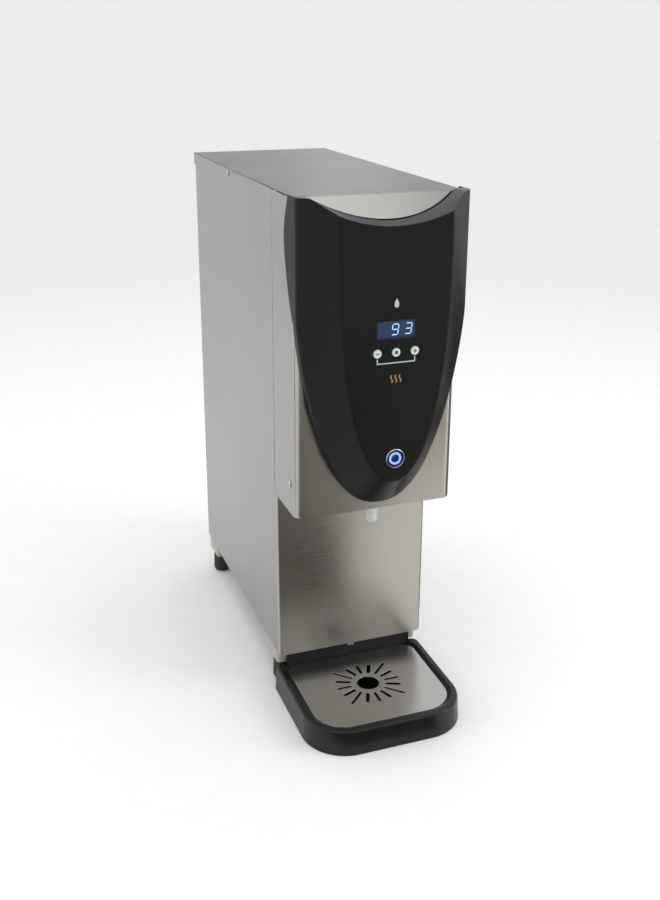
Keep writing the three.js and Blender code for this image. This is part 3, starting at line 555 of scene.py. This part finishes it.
def make_lid():
    """The lid is one sheet with flanges down three sides and a sloping brow that runs into the fascia."""
    slope = math.degrees(math.atan(BROW_DROP))
    fold = 2.5
    fold_start = hood.front - fold * math.tan(math.radians(slope / 2))
    bend = arc((fold_start, lid.top - fold), fold, 90, 90 - slope, 8)
    inner_bend = arc((fold_start, lid.top - fold), fold - SHEET, 90, 90 - slope, 8)
    brow_front = hood.front + BROW_REACH
    brow_top = lid.top - BROW_DROP * BROW_REACH
    brow_under = brow_top - SHEET / math.cos(math.radians(slope))
    rear_bend = arc((lid.rear + LID_BEND, lid.top - LID_BEND), LID_BEND, 180, 90, 8)
    folded = extrude("lid_sheet", [
        (lid.rear, lid.bottom), *rear_bend, *bend, (brow_front, brow_top), (brow_front, lid.bottom),
    ], "x", (lid.left, lid.right))
    side_bends = [
        *arc((lid.right - LID_BEND, lid.top - LID_BEND), LID_BEND, 0, 90, 8),
        *arc((lid.left + LID_BEND, lid.top - LID_BEND), LID_BEND, 90, 180, 8)]
    across = extrude("tool", [(lid.left, lid.bottom - 1), (lid.right, lid.bottom - 1), *side_bends], "depth",
                     (lid.rear - 1, brow_front + 1))
    combine(folded, [across], "INTERSECT")
    low = lid.bottom - 5
    inside = block("tool", (lid.left + SHEET, lid.right - SHEET), (lid.rear + SHEET, LID_FLANGE_FRONT + 5),
                   (low, lid.top - SHEET))
    below_flanges = block("tool", (-100, 100), (lid.rear - 5, LID_FLANGE_FRONT + 5), (low, LID_FLANGE_BOTTOM))
    below_front = extrude("tool", [
        (LID_FLANGE_FRONT, low), (LID_FLANGE_FRONT, lid.top - SHEET), *inner_bend,
        (brow_front + 1, brow_under - BROW_DROP), (brow_front + 1, low)], "x", (-100, 100))
    beside = [
        block("tool", sorted((side * BROW_HALF, side * 100)), (hood.front + 0.6, brow_front + 5), (500, 600))
        for side in (-1, 1)]
    below_arch = cut(block("tool", (-100, 100), (hood.front + 0.6, brow_front + 5), (500, 600)), above_arch(-0.7))
    screw = centre("lid_screw_left")
    holes = lathe("tool", [(0, -100), (2.3, -100), (2.3, 100), (0, 100)], "x", screw[1:])
    cut(folded, inside, below_flanges, below_front, *beside, below_arch, holes)
    # the fold between top and brow takes the bright edge steel as a painted highlight; the brow and the top take
    # darker copies as painted shade
    def lid_look(normal):
        forward_lean = -normal.y
        if normal.z > 0.5 and forward_lean > 0.05:
            return 3 if forward_lean < BROW_FOLD_END else 2
        return painted_shade_by_facing(normal)

    finish_piece(folded, "cabinet", [top_steel_painted_shade, wall_steel, brow_steel_painted_light, edge_wear_and_highlight], ["top_lid"],
                 width=0.3, choose=lid_look)


def dress_panels():
    """The flat panels keep their CAD shape, with their cut edges broken."""
    looks = {
        "left_side_panel": wall_steel, "right_side_panel": wall_steel, "back_panel": back_steel,
        "hood_underplate": top_steel_painted_shade, "base_pan": inner_steel,
    }
    for node, look in looks.items():
        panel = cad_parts[node]
        panel.data.materials.clear()
        panel.data.materials.append(look)
        weld = panel.modifiers.new("weld", "WELD")
        weld.merge_threshold = 1e-5
        bevel = panel.modifiers.new("soften", "BEVEL")
        bevel.width = 0.3 * MM
        bevel.segments = 2
        bevel.limit_method = "ANGLE"
        bevel.angle_limit = math.radians(40)


# ---------- fascia ----------
def shield_half(z, tip, shoulder, half, curve):
    """Half-width of a shield outline: nothing at its tip, full from its shoulder upward."""
    fall = min(max((shoulder - z) / (shoulder - tip), 0), 1)
    swell, round_power = curve
    return half * (1 - fall ** swell) ** (1 / round_power)


def shield_ring(tip, shoulder, half, curve, top, face, steps=56):
    heights = [tip + (shoulder - tip) * (i / steps) ** 2 for i in range(1, steps + 1)]
    right = [(shield_half(z, tip, shoulder, half, curve), z) for z in heights] + [(half, top)]
    left = [(-x, z) for x, z in reversed(right)]
    return [(x, face(z), z) for x, z in [*left, (0, tip), *right]]


def outer_ring(inset, reach, top):
    return shield_ring(FASCIA_TIP + inset, FASCIA_SHOULDER, FASCIA_HALF - inset, FASCIA_CURVE, top,
                       lambda z: hood.front + reach)


def tongue_ring(inset, top):
    return shield_ring(TONGUE_TIP + inset, TONGUE_SHOULDER, TONGUE_HALF - inset, TONGUE_CURVE, top,
                       lambda z: tongue_face(z) - inset)


def smooth_path(points, steps=12):
    """A Catmull-Rom curve through points."""
    padded = [points[0], *points, points[-1]]
    path = []
    for a, b, c, d in zip(padded, padded[1:], padded[2:], padded[3:]):
        for i in range(steps):
            t = i / steps
            path.append(tuple(
                0.5 * (2 * q + (r - p) * t + (2 * p - 5 * q + 4 * r - s) * t ** 2 + (3 * q - p - 3 * r + s) * t ** 3)
                for p, q, r, s in zip(a, b, c, d)))
    return [*path, points[-1]]


def make_fascia():
    """A hollow moulded shield whose raised tongue carries the controls, with an arched top and swept sides."""
    rear_reach = -40
    shell = loft("fascia_shell", [outer_ring(0, rear_reach, fascia.top), outer_ring(0, FASCIA_EDGE, fascia.top),
                                  tongue_ring(0, fascia.top)])
    edge_depth = hood.front + FASCIA_EDGE

    def front_edge(a, b):
        return all(abs(p[1] - edge_depth) < 0.01 for p in (a, b)) and min(a[2], b[2]) < fascia.top - 0.1

    def tongue_edge(a, b):
        return all(p[1] > edge_depth + 1 for p in (a, b)) and min(a[2], b[2]) < fascia.top - 0.1

    round_edges(shell, tongue_edge, TONGUE_ROUNDING, 4)
    round_edges(shell, front_edge, FASCIA_ROUNDING, 6)
    room_top = fascia.top - FASCIA_WALL
    hollow = loft("tool", [outer_ring(FASCIA_WALL, rear_reach - 1, room_top),
                           outer_ring(FASCIA_WALL, FASCIA_EDGE - 1, room_top), tongue_ring(FASCIA_WALL, room_top)])
    cut(hollow, above_arch(FASCIA_WALL))

    rear_edge = smooth_path([(hood.front + GAP, 465), (hood.front - 15.4, 500), (hood.front - 26, 551),
                             (hood.front - 12, 592)])
    behind = extrude("tool", [(300, 600), (300, 200), (hood.front + GAP, 200), *rear_edge, (hood.front - 12, 600)],
                     "x", (-100, 100))
    clear = hood.right + GAP
    hood_room = block("tool", (-clear, clear), (300, hood.front + GAP), (200, 620))
    brow_clear = 0.9
    brow_room = extrude("tool", [
        (hood.front - 5, lid.top + 20), (hood.front + brow_clear, lid.top + 20), (hood.front + brow_clear, lid.top),
        (hood.front + 36, lid.top - BROW_DROP * (36 - brow_clear)),
        (hood.front - 5, lid.top - BROW_DROP * (36 - brow_clear)),
    ], "x", (-BROW_HALF - GAP, BROW_HALF + GAP))
    combine(brow_room, [above_arch(4.5)], "INTERSECT")

    reach = (hood.front + 30, hood.front + 60)
    middle = ((lens.left + lens.right) / 2, (lens.bottom + lens.top) / 2)
    half_wide = (lens.right - lens.left) / 2 + GAP
    half_high = (lens.top - lens.bottom) / 2 + GAP
    display_hole = extrude("tool", rounded_box(middle, half_wide, half_high, 0.8), "depth", reach)

    def round_hole(radius, x, z):
        return lathe("tool", [(0, reach[0]), (radius, reach[0]), (radius, reach[1]), (0, reach[1])], "depth", (x, z))

    key_holes = [round_hole(KEY_RADIUS + GAP, i * KEY_PITCH, key_z) for i in (-1, 0, 1)]
    cut(shell, hollow)
    cut(shell, above_arch(0))
    cut(shell, behind, hood_room)
    cut(shell, brow_room)
    cut(shell, display_hole, *key_holes, round_hole(9.6, 0, button_z))
    # upward faces take the lighter black as a painted highlight, sides the duller black as painted shade
    def fascia_look(normal):
        return 2 if normal.z > 0.7 else painted_shade_by_facing(normal)

    finish_piece(shell, "cabinet", [fascia_black, fascia_side_painted_shade, fascia_top_and_edge_highlight], ["front_fascia"],
                 width=0.5, choose=fascia_look)
    for vertex in shell.data.vertices:
        vertex.co.z = min(vertex.co.z, fascia.top * MM)


# ---------- controls ----------
def lie_on_tongue(piece, lift):
    """Moves a flat mark, made at depth 0, onto the leaning face of the tongue."""
    for vertex in piece.data.vertices:
        z = vertex.co.z / MM
        out = (back_face - vertex.co.y) / MM
        vertex.co.y = back_face - (tongue_face(z) + lift + out) * MM
    return piece


def mark(name, outline, body, look, depth, thick=0.12):
    """A thin printed or inlaid mark facing forward at a depth."""
    piece = extrude(name, outline, "depth", (depth - 0.2, depth + thick))
    return finish_piece(piece, body, [look], width=0.03, steps=2)


def digit_segments(lit, middle, half_wide, half_high, thick, slant):
    """The outlines of the lit bars of a seven-bar digit."""
    x, z = middle
    bars = {
        "top": (0, half_high, "h"), "mid": (0, 0, "h"), "low": (0, -half_high, "h"),
        "left_up": (-half_wide, half_high / 2, "v"), "right_up": (half_wide, half_high / 2, "v"),
        "left_low": (-half_wide, -half_high / 2, "v"), "right_low": (half_wide, -half_high / 2, "v"),
    }
    outlines = []
    for bar in lit:
        u, v, way = bars[bar]
        length = (half_wide if way == "h" else half_high / 2) - 0.35
        t = thick / 2
        shape = [(-length, 0), (-length + t, t), (length - t, t), (length, 0), (length - t, -t), (-length + t, -t)]
        if way == "v":
            shape = [(b, a) for a, b in shape]
        outlines.append([(x + u + a + slant * (v + b), z + v + b) for a, b in shape])
    return outlines


def make_display():
    """A tinted window with a lit two-digit reading."""
    middle = ((lens.left + lens.right) / 2, (lens.bottom + lens.top) / 2)
    pane_outline = rounded_box(middle, (lens.right - lens.left) / 2, (lens.top - lens.bottom) / 2, 0.6)
    pane = extrude("display_pane", pane_outline, "depth", (lens.rear, lens.front))
    finish_piece(pane, "cabinet", [window], ["display_lens"], width=0.15)
    every = ["top", "mid", "low", "left_up", "right_up", "left_low", "right_low"]
    numerals = {
        "digit_nine": (-1.0, [bar for bar in every if bar != "left_low"]),
        "digit_three": (13.0, [bar for bar in every if not bar.startswith("left")]),
    }
    for name, (x, lit) in numerals.items():
        outlines = digit_segments(lit, (x, middle[1] + 0.2), 3.2, 5.3, 0.95, 0.13)
        for number, outline in enumerate(outlines, 1):
            mark(f"{name}_{number}", outline, "cabinet", digit_glow, lens.front, 0.1)


def make_keys():
    """Three round keys, each with a plain raised symbol."""
    face = tongue_face(key_z)
    cap_profile = [
        (0, face - 4.2), (6.3, face - 4.2), (6.3, face - 3.2), (KEY_RADIUS, face - 3.2), (KEY_RADIUS, face + 0.4),
        *arc((KEY_RADIUS - 0.5, face + 0.4), 0.5, 0, 90, 4), (0, face + 0.9)]
    long_bar = [(-2.1, -0.5), (2.1, -0.5), (2.1, 0.5), (-2.1, 0.5)]
    symbols = {
        "minus_key": [long_bar],
        "stop_key": [rounded_box((0, 0), 1.7, 1.7, 0.3)],
        "plus_key": [long_bar, [(b, a) for a, b in long_bar]],
    }
    for number, (name, shapes) in enumerate(symbols.items()):
        x = (number - 1) * KEY_PITCH
        cap = lathe(f"{name}_cap", cap_profile, "depth", (x, key_z))
        finish_piece(cap, name, [key_plastic], [name])
        for part, shape in enumerate(shapes, 1):
            outline = [(x + a, key_z + b) for a, b in shape]
            mark(f"{name}_symbol_{part}", outline, name, print_dark, face + 0.9, 0.04)


def make_print():
    """Generic printed marks: a drop above the display, a bracket under the keys and a steam sign."""
    def tongue_mark(name, outline, look):
        piece = extrude(name, outline, "depth", (-0.15, 0.06))
        lie_on_tongue(piece, 0)
        finish_piece(piece, "cabinet", [look])

    drop_z = lens.top + 18
    drop = [(0, drop_z + 5.5), *[(3.2 * math.sin(t) * math.sin(t / 2), drop_z + 4.5 * math.cos(t))
            for t in [math.pi * i / 16 for i in range(2, 31)]]]
    tongue_mark("print_drop", drop, print_pale)

    line = 0.55
    low = key_z - 10.5
    outer, inner = KEY_PITCH + line, KEY_PITCH - line
    bracket = [(-outer, key_z - 5.6), (-outer, low - line), (outer, low - line), (outer, key_z - 5.6),
               (inner, key_z - 5.6), (inner, low + line), (-inner, low + line), (-inner, key_z - 5.6)]
    tongue_mark("print_bracket", bracket, print_pale)

    steam_z = key_z - 27
    for number, x in enumerate((-4.5, 0, 4.5), 1):
        steps = 16
        wave = [(x + 0.9 * math.sin(2 * math.pi * i / steps), steam_z - 4 + 8 * i / steps) for i in range(steps + 1)]
        outline = [(a - 0.5, b) for a, b in wave] + [(a + 0.5, b) for a, b in reversed(wave)]
        tongue_mark(f"print_steam_{number}", outline, print_amber)


def make_push_button():
    """A bezel round a metal push button with a lit ring let into its face."""
    seat = tongue_face(button_z - 11)
    bezel_profile = [
        (8.3, seat - 16), (9.3, seat - 16), (9.3, seat + GAP), (10.2, seat + GAP),
        *arc((9.8, seat + 0.8), 0.5, -45, 30, 4), *arc((9.5, seat + 1.2), 0.7, 20, 110, 8), (8.9, seat + 0.6),
        (8.3, seat - 0.2)]
    bezel = lathe("button_bezel", bezel_profile, "depth", (0, button_z), 96)
    finish_piece(bezel, "cabinet", [polished], ["push_button_bezel"])
    cap_profile = [
        (0, seat - 10), (5, seat - 10), (5, seat - 2), (8, seat - 2), (8, seat + 1), *arc((7.5, seat + 1), 0.5, 0, 90, 4),
        (6.9, seat + 1.5), (6.8, seat + 1.4), (6.8, seat), (4.2, seat), (4.2, seat + 1.4), (4.1, seat + 1.5),
        (2.5, seat + 1.4), (0, seat + 1.3)]
    cap = lathe("button_cap", cap_profile, "depth", (0, button_z), 96)
    finish_piece(cap, "dispense_button", [button_metal], ["dispense_button"])
    ring_profile = [(4.5, seat + GAP), (6.5, seat + GAP), (6.5, seat + 1.4), (6.3, seat + 1.6), (4.7, seat + 1.6),
                    (4.5, seat + 1.4)]
    ring = lathe("button_ring", ring_profile, "depth", (0, button_z), 96)
    finish_piece(ring, "dispense_button", [ring_glow], ["button_light_ring"])


# ---------- spout, tray and grid ----------
def make_spout():
    limits = span("spout_nozzle")
    low, high = limits.bottom, limits.top
    flange = span("hood_underplate").bottom + SHEET + GAP
    profile = [
        (4.5, low + 0.4), (4.9, low), *arc((6.7, low + 0.8), 0.8, -90, 0, 5), (7.5, flange), (9.4, flange),
        (9.4, flange + 2), (7.5, flange + 2), (7.5, high), (4.5, high)]
    nozzle = lathe("spout", profile, "z", (0, SPOUT_DEPTH))
    finish_piece(nozzle, "cabinet", [clear_plastic], ["spout_nozzle"])


def make_tray():
    """A moulded tray: a flared skirt, a rounded rim, a ledge for the grid and a basin below it."""
    half, rim_front = 91.0, 488.0
    rounding = 2.6

    def outside(grow, z):
        return [(x, d, z) for x, d in footprint(half + grow, tray.rear - min(grow, 0), rim_front + grow,
                                                9 + min(grow, 0), 48 + grow)]

    def inside(inset, z):
        return [(x, d, z) for x, d in footprint(80.3 - inset, 341.7 + inset, 475.3 - inset, 13 - inset, 36 - inset)]

    skirt = [(1.2, 0), (1.8, 0.3), (2.0, 1.2), (1.7, 4), (0.3, RIM_TOP - rounding - 1)]
    rounded = [(-rounding * (1 - math.cos(math.radians(a))), RIM_TOP - rounding * (1 - math.sin(math.radians(a))))
               for a in range(0, 91, 15)]
    rings = [outside(grow, z) for grow, z in [*skirt, *rounded]]
    lip = [(-4.6, 29), (-4.2, 28.9), (-3.8, 28.6), (-0.3, 26.4), (0, 26.1), (0, 25.4), (0.3, 25.2), (4.6, 25.2),
           (5, 24.8), (5, 12), (9, 3.4), (10, 3)]
    rings += [inside(inset, z) for inset, z in lip]
    body = loft("tray_body", rings)
    lip = block("lip", (-LIP_HALF, LIP_HALF), LIP_DEPTHS, (26, tray.top))
    round_edges(lip, lambda a, b: min(a[2], b[2]) > tray.top - 0.1, 0.8, 3)
    join(body, lip)
    finish_piece(body, "drip_tray", [tray_black], ["drip_tray"])


def slot_outline(inner, outer, width, angle):
    half = width / 2
    shape = [*arc((outer - half, 0), half, -90, 90, 8), *arc((inner + half, 0), half, 90, 270, 8)]
    cosine, sine = math.cos(math.radians(angle)), math.sin(math.radians(angle))
    return [(a * cosine - b * sine, SPOUT_DEPTH - a * sine - b * cosine) for a, b in shape]


def make_grid():
    """A steel plate with a sunburst of drain slots round a finger hole."""
    plan = footprint(grid.right, grid.rear, grid.front, 12.4, 35.4)
    plate = extrude("grid_plate", plan, "z", (grid.bottom, grid.top))
    through = (grid.bottom - 2, grid.top + 2)
    pattern = [(20, 38, 3.4, 0), (20, 38, 4.2, 22.5), (20, 46, 3.2, 45), (20, 38, 4.2, 67.5)]
    tools = [
        extrude("tool", slot_outline(inner, outer, width, angle + 90 * quarter), "z", through)
        for quarter in range(4) for inner, outer, width, angle in pattern]
    tools.append(lathe("tool", [(0, through[0]), (12.8, through[0]), (12.8, through[1]), (0, through[1])], "z",
                       (0, SPOUT_DEPTH)))
    cut(plate, *tools)
    # the grid's bevels take the brighter edge steel: edge wear and a painted highlight
    finish_piece(plate, "drip_grid", [grid_steel, edge_wear_and_highlight], ["drip_grid"], width=0.3)


# ---------- legs and feet ----------
def make_legs():
    for end in ("front", "rear"):
        for hand, side in (("left", -1), ("right", 1)):
            node = f"corner_leg_{end}_{hand}"
            limits = span(node)
            half = (limits.right - limits.left) / 2
            middle = (limits.left + limits.right) / 2
            levels = [(2.2, 0), (1.2, 0.3), (0.4, 1.0), (0, 2.2), (0, limits.top - limits.bottom - 0.6),
                      (0.5, limits.top - limits.bottom)]
            rings = [
                [(middle + x, d, limits.bottom + z)
                 for x, d in footprint(half - inset, limits.rear + inset, limits.front - inset, 4 - min(inset, 3),
                                       4 - min(inset, 3))]
                for inset, z in levels]
            leg = loft(f"leg_{end}_{hand}", rings)
            foot = centre(f"levelling_foot_{end}_{hand}")
            stud_room = lathe("tool", [(0, 0), (4.6, 0), (4.6, limits.top - 1.7), (0, limits.top - 1.7)], "z",
                              foot[:2], 32)
            cut(leg, stud_room)
            finish_piece(leg, "cabinet", [leg_paint], [node])


def make_feet():
    for end in ("front", "rear"):
        for hand in ("left", "right"):
            node = f"levelling_foot_{end}_{hand}"
            limits = span(node)
            pad_top = span(f"corner_leg_{end}_{hand}").bottom - GAP
            stud = [(3.7 if i % 2 else 3.95, pad_top + 0.7 * i) for i in range(1, 17)]
            profile = [
                (0, 0), (7, 0), (9, 0.5), (10.6, 1.7), (11.6, 3.6), (12, 6), (11.9, 12), (11.2, pad_top - 1.2),
                (10.6, pad_top - 0.3), (9.8, pad_top), (3.9, pad_top), *stud, (3.2, limits.top), (0, limits.top)]
            foot = lathe(f"foot_{end}_{hand}", profile, "z", centre(node)[:2], 48)
            finish_piece(foot, node, [foot_rubber], [node])


# ---------- screws and rear fittings ----------
def make_screws():
    """Pan-head screws with a crossed recess."""
    def screw(node, axis, outward, middle, face):
        tip = face - outward * 8
        dome = [(3.55, face), (3.6, face + outward * 0.25), (3.3, face + outward * 0.75),
                (2.4, face + outward * 1.15), (1.2, face + outward * 1.3), (0, face + outward * 1.3)]
        body = lathe(f"{node}_head", [(0, tip), (2, tip), (2, face), *dome], axis, middle, 40)
        low, high = sorted((face + outward * 0.5, face + outward * 3))
        tools = []
        for long, short in ((2.1, 0.4), (0.4, 2.1)):
            outline = [(middle[0] + a * long, middle[1] + b * short) for a, b in ((-1, -1), (1, -1), (1, 1), (-1, 1))]
            tools.append(extrude("tool", outline, axis, (low, high)))
        cut(body, *tools)
        finish_piece(body, "cabinet", [screw_steel], [node], width=0.08, steps=2)

    for kind in ("lid", "hood"):
        for hand, side in (("left", -1), ("right", 1)):
            node = f"{kind}_screw_{hand}"
            screw(node, "x", side, centre(node)[1:], side * (hood.right + GAP))
    for number in range(1, 5):
        node = f"back_screw_{number}"
        x, _, z = centre(node)
        screw(node, "depth", -1, (x, z), -GAP)


def make_rear_fittings():
    """The water inlet, cord gland, drain plug and power switch on the back."""
    inlet = span("inlet_fitting")
    x, _, z = centre("inlet_fitting")
    threads = [(6.5 if i % 2 else 5.9, -24.4 + 0.75 * i) for i in range(1, 18)]
    nut = loft("inlet_nut", [
        [(x + r * math.cos(math.radians(a)), depth, z + r * math.sin(math.radians(a))) for a in range(0, 360, 60)]
        for r, depth in ((10.0, -8.9), (10.45, -8.4), (10.45, -0.8), (10.0, -GAP))])
    bore = lathe("tool", [(0, -30), (6.2, -30), (6.2, 30), (0, 30)], "depth", (x, z))
    cut(nut, bore)
    finish_piece(nut, "cabinet", [brass], width=0.12, steps=2)
    tube = lathe("inlet_tube", [(3.5, inlet.rear), (5.6, inlet.rear), *threads, (6.5, -10), (6.5, inlet.front),
                                (3.5, inlet.front)], "depth", (x, z))
    finish_piece(tube, "cabinet", [brass], ["inlet_fitting"])

    gland = span("cord_gland")
    x, _, z = centre("cord_gland")
    ribs = [(11 if i % 2 else 10.5, -9.2 + 0.6 * i) for i in range(1, 14)]
    profile = [(4, gland.rear + 0.5), (4.5, gland.rear), (6.6, gland.rear), (7.2, gland.rear + 0.5), (10.6, -9.4), *ribs,
               (11, -GAP), (7.9, -GAP), (7.9, gland.front), (4, gland.front)]
    sleeve = lathe("gland_sleeve", profile, "depth", (x, z))
    finish_piece(sleeve, "cabinet", [hard_black], ["cord_gland"])

    plug = span("drain_plug")
    x, _, z = centre("drain_plug")
    knurls = [[(x + r * math.cos(math.radians(a)), depth, z + r * math.sin(math.radians(a)))
               for a, r in [(5 * i, wide if i % 2 else wide - 0.35) for i in range(72)]]
              for wide, depth in ((7.0, plug.rear), (7.9, plug.rear + 0.8), (8.0, plug.front - 0.6),
                                  (7.5, plug.front))]
    cap = loft("drain_cap", knurls)
    finish_piece(cap, "cabinet", [hard_black], ["drain_plug"])

    frame_limits = span("power_switch_frame")
    x, _, z = centre("power_switch_frame")
    half_wide = (frame_limits.right - frame_limits.left) / 2
    half_high = (frame_limits.top - frame_limits.bottom) / 2
    flange = extrude("switch_flange", rounded_box((x, z), half_wide, half_high, 1.5), "depth",
                     (frame_limits.rear, -GAP))
    body = extrude("switch_body", rounded_box((x, z), half_wide - 2.5, half_high - 2.5, 0.8), "depth",
                   (-1, frame_limits.front))
    join(flange, body)
    cut(flange, extrude("tool", rounded_box((x, z), half_wide - 4.5, half_high - 4.2, 0.5), "depth", (-5, 8)))
    finish_piece(flange, "cabinet", [hard_black], ["power_switch_frame"], width=0.35)


def dress_rocker():
    """The rocker keeps its CAD shape, with soft edges."""
    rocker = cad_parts["power_rocker"]
    rocker.data.materials.clear()
    rocker.data.materials.append(hard_black)
    weld = rocker.modifiers.new("weld", "WELD")
    weld.merge_threshold = 1e-5
    bevel = rocker.modifiers.new("soften", "BEVEL")
    bevel.width = 0.3 * MM
    bevel.segments = 3
    bevel.limit_method = "ANGLE"
    bevel.angle_limit = math.radians(40)


def dress_inner_nodes():
    """The pieces inside the cabinet keep their CAD shapes."""
    looks = {
        inner_steel: ["water_tank", "tank_stand", "tank_lid", "temperature_probe", "level_probe", "heating_element"],
        hard_black: ["display_module", "push_button_contact_block", "limit_thermostat", "terminal_block"],
        board_green: ["control_board", "power_board"],
        brass: ["push_button_nut"],
        foam: ["tank_insulation"],
        silicone: ["tank_gasket", "fill_tube", "drain_tube", "outlet_tube"],
        nylon: ["inlet_valve", "dispense_valve"],
    }
    for look, nodes in looks.items():
        for node in nodes:
            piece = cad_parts[node]
            piece.data.materials.clear()
            piece.data.materials.append(look)


# ---------- setting ----------
def softbox(name, position, aim, size, radiance, colour):
    light = bpy.data.lights.new(name, "AREA")
    light.shape = "RECTANGLE"
    light.size, light.size_y = size
    light.energy = radiance * math.pi * size[0] * size[1]
    light.color = colour
    holder = bpy.data.objects.new(name, light)
    holder.location = position
    holder.rotation_mode = "QUATERNION"
    holder.rotation_quaternion = (Vector(aim) - Vector(position)).to_track_quat("-Z", "Y")
    bpy.context.scene.collection.objects.link(holder)


def dark_card(name, corners, cloth):
    """A dark card that shows only in reflections. Its corners are in metres."""
    points = [(x / MM, (back_face - y) / MM, z / MM) for x, y, z in corners]
    card = new_piece(name, points, [tuple(range(len(points)))])
    card.data.materials.append(cloth)
    card.visible_camera = False
    card.visible_diffuse = False
    card.visible_shadow = False
    card.visible_transmission = False


def make_cove():
    """A round white cove: a level floor that curves up into a low wall."""
    radius, bend, height, segments = 3200, 1000, 1900, 96
    sweep = [(radius - bend + x, bend + z) for x, z in arc((0, 0), bend, -90, 0)]
    rings = [(400, 0), (1400, 0), *sweep, (radius, height)]
    turns = [2 * math.pi * i / segments for i in range(segments)]
    points = [(r * math.cos(t), r * math.sin(t), z) for r, z in rings for t in turns]
    faces = [tuple(range(segments))]
    for ring in range(len(rings) - 1):
        for i in range(segments):
            j = (i + 1) % segments
            faces.append(tuple(ring * segments + k for k in (i, j, j + segments, i + segments)))
    cove = new_piece("cove", points, faces)
    paper = Look("cove_paper", (0.92, 0.92, 0.915), roughness=0.8, Specular_IOR_Level=0.1)
    fibres = paper.noise((40, 40, 40), detail=4)
    paper.colour(fibres, [(0.3, (0.91, 0.91, 0.905)), (0.7, (0.93, 0.93, 0.925))])
    paper.bump(fibres, 0.1, 0.05)
    cove.data.materials.append(paper.material)
    cove.data.shade_smooth()


def make_setting():
    """Soft light from a pale sky and three softboxes, with dark cards low in front to model the steel."""
    scene = bpy.context.scene
    scene.view_settings.view_transform = "Standard"
    make_cove()
    softbox("overhead", (0, 0.1, 2.2), (0, 0, 0.3), (1.6, 1.6), 1.5, (1, 0.99, 0.97))
    softbox("right_front", (1.5, -1.1, 1.0), (0.1, -0.4, 0), (0.9, 1.2), 3.4, (1, 0.985, 0.95))
    softbox("left", (-1.9, 0.3, 0.9), (0, 0, 0.3), (1.2, 1.4), 1.0, (0.93, 0.97, 1))

    def card_cloth(name, colour):
        cloth = Look(name, colour, roughness=0.9)
        cloth.bump(cloth.noise((500, 500, 500), detail=2), 0.3, 0.3)
        return cloth.material

    black_cloth = card_cloth("black_cloth", (0.04, 0.025, 0.015))
    gray_cloth = card_cloth("gray_cloth", (0.1, 0.094, 0.084))
    low = 0.004
    dark_card("near_card", [
        (-0.55, -0.34, low), (-0.2, -0.27, low), (0.06, -0.27, low), (0.19, -0.62, low), (-0.55, -0.62, low),
    ], black_cloth)
    dark_card("front_card", [
        (-0.6, -0.625, low), (0.2, -0.625, low), (0.28, -0.85, low), (1.5, -0.95, low), (2.4, -2.6, low),
        (-1.9, -2.6, low)], gray_cloth)
    dark_card("left_card", [(-0.6, -0.12, low), (-2.5, -0.1, low), (-2.5, 0.3, low), (-0.6, 0.08, low)],
              black_cloth)
    dark_card("beside_card", [(0.2, -0.2, low), (0.7, -0.38, low), (0.82, 0.46, low), (0.2, 0.3, low)], black_cloth)
    dark_card("right_card", [(0.72, -0.4, low), (2.5, -0.8, low), (2.5, 1.1, low), (0.85, 0.5, low)], black_cloth)
    dark_card("far_card", [(-1.9, -2.62, low), (2.4, -2.62, low), (2.4, -2.62, 0.9), (-1.9, -2.62, 0.9)],
              black_cloth)
    softbox("lid_streak", (1.0, 2.5, 1.45), (0, 0, 0.59), (0.35, 0.7), 0.5, (1, 1, 0.98))

    world = bpy.data.worlds.new("studio")
    world.use_nodes = True
    world.node_tree.nodes["Background"].inputs["Color"].default_value = (0.97, 0.98, 1, 1)
    world.node_tree.nodes["Background"].inputs["Strength"].default_value = 0.85
    scene.world = world


def make_camera():
    azimuth, elevation, roll = math.radians(-19.93), math.radians(19.014), math.radians(0.217)
    back = Vector((math.sin(azimuth) * math.cos(elevation), -math.cos(azimuth) * math.cos(elevation),
                   math.sin(elevation)))
    right = (-back).cross(Vector((0, 0, 1))).normalized()
    up = right.cross(-back)
    turned_right = math.cos(roll) * right + math.sin(roll) * up
    turned_up = math.cos(roll) * up - math.sin(roll) * right
    lens_data = bpy.data.cameras.new("camera")
    lens_data.sensor_width = 36
    lens_data.lens = 43.08
    lens_data.shift_y = -0.0556
    camera = bpy.data.objects.new("camera", lens_data)
    pose = Matrix((turned_right, turned_up, back)).transposed().to_4x4()
    pose.translation = Vector((-0.407757, -1.162969, 0.741648))
    camera.matrix_world = pose
    bpy.context.scene.collection.objects.link(camera)
    bpy.context.scene.camera = camera


make_camera()
make_setting()
make_hood()
make_splash_panel()
make_lid()
dress_panels()
make_fascia()
make_display()
make_keys()
make_print()
make_push_button()
make_spout()
make_tray()
make_grid()
make_legs()
make_feet()
make_screws()
make_rear_fittings()
dress_rocker()
dress_inner_nodes()

bpy.context.view_layer.update()
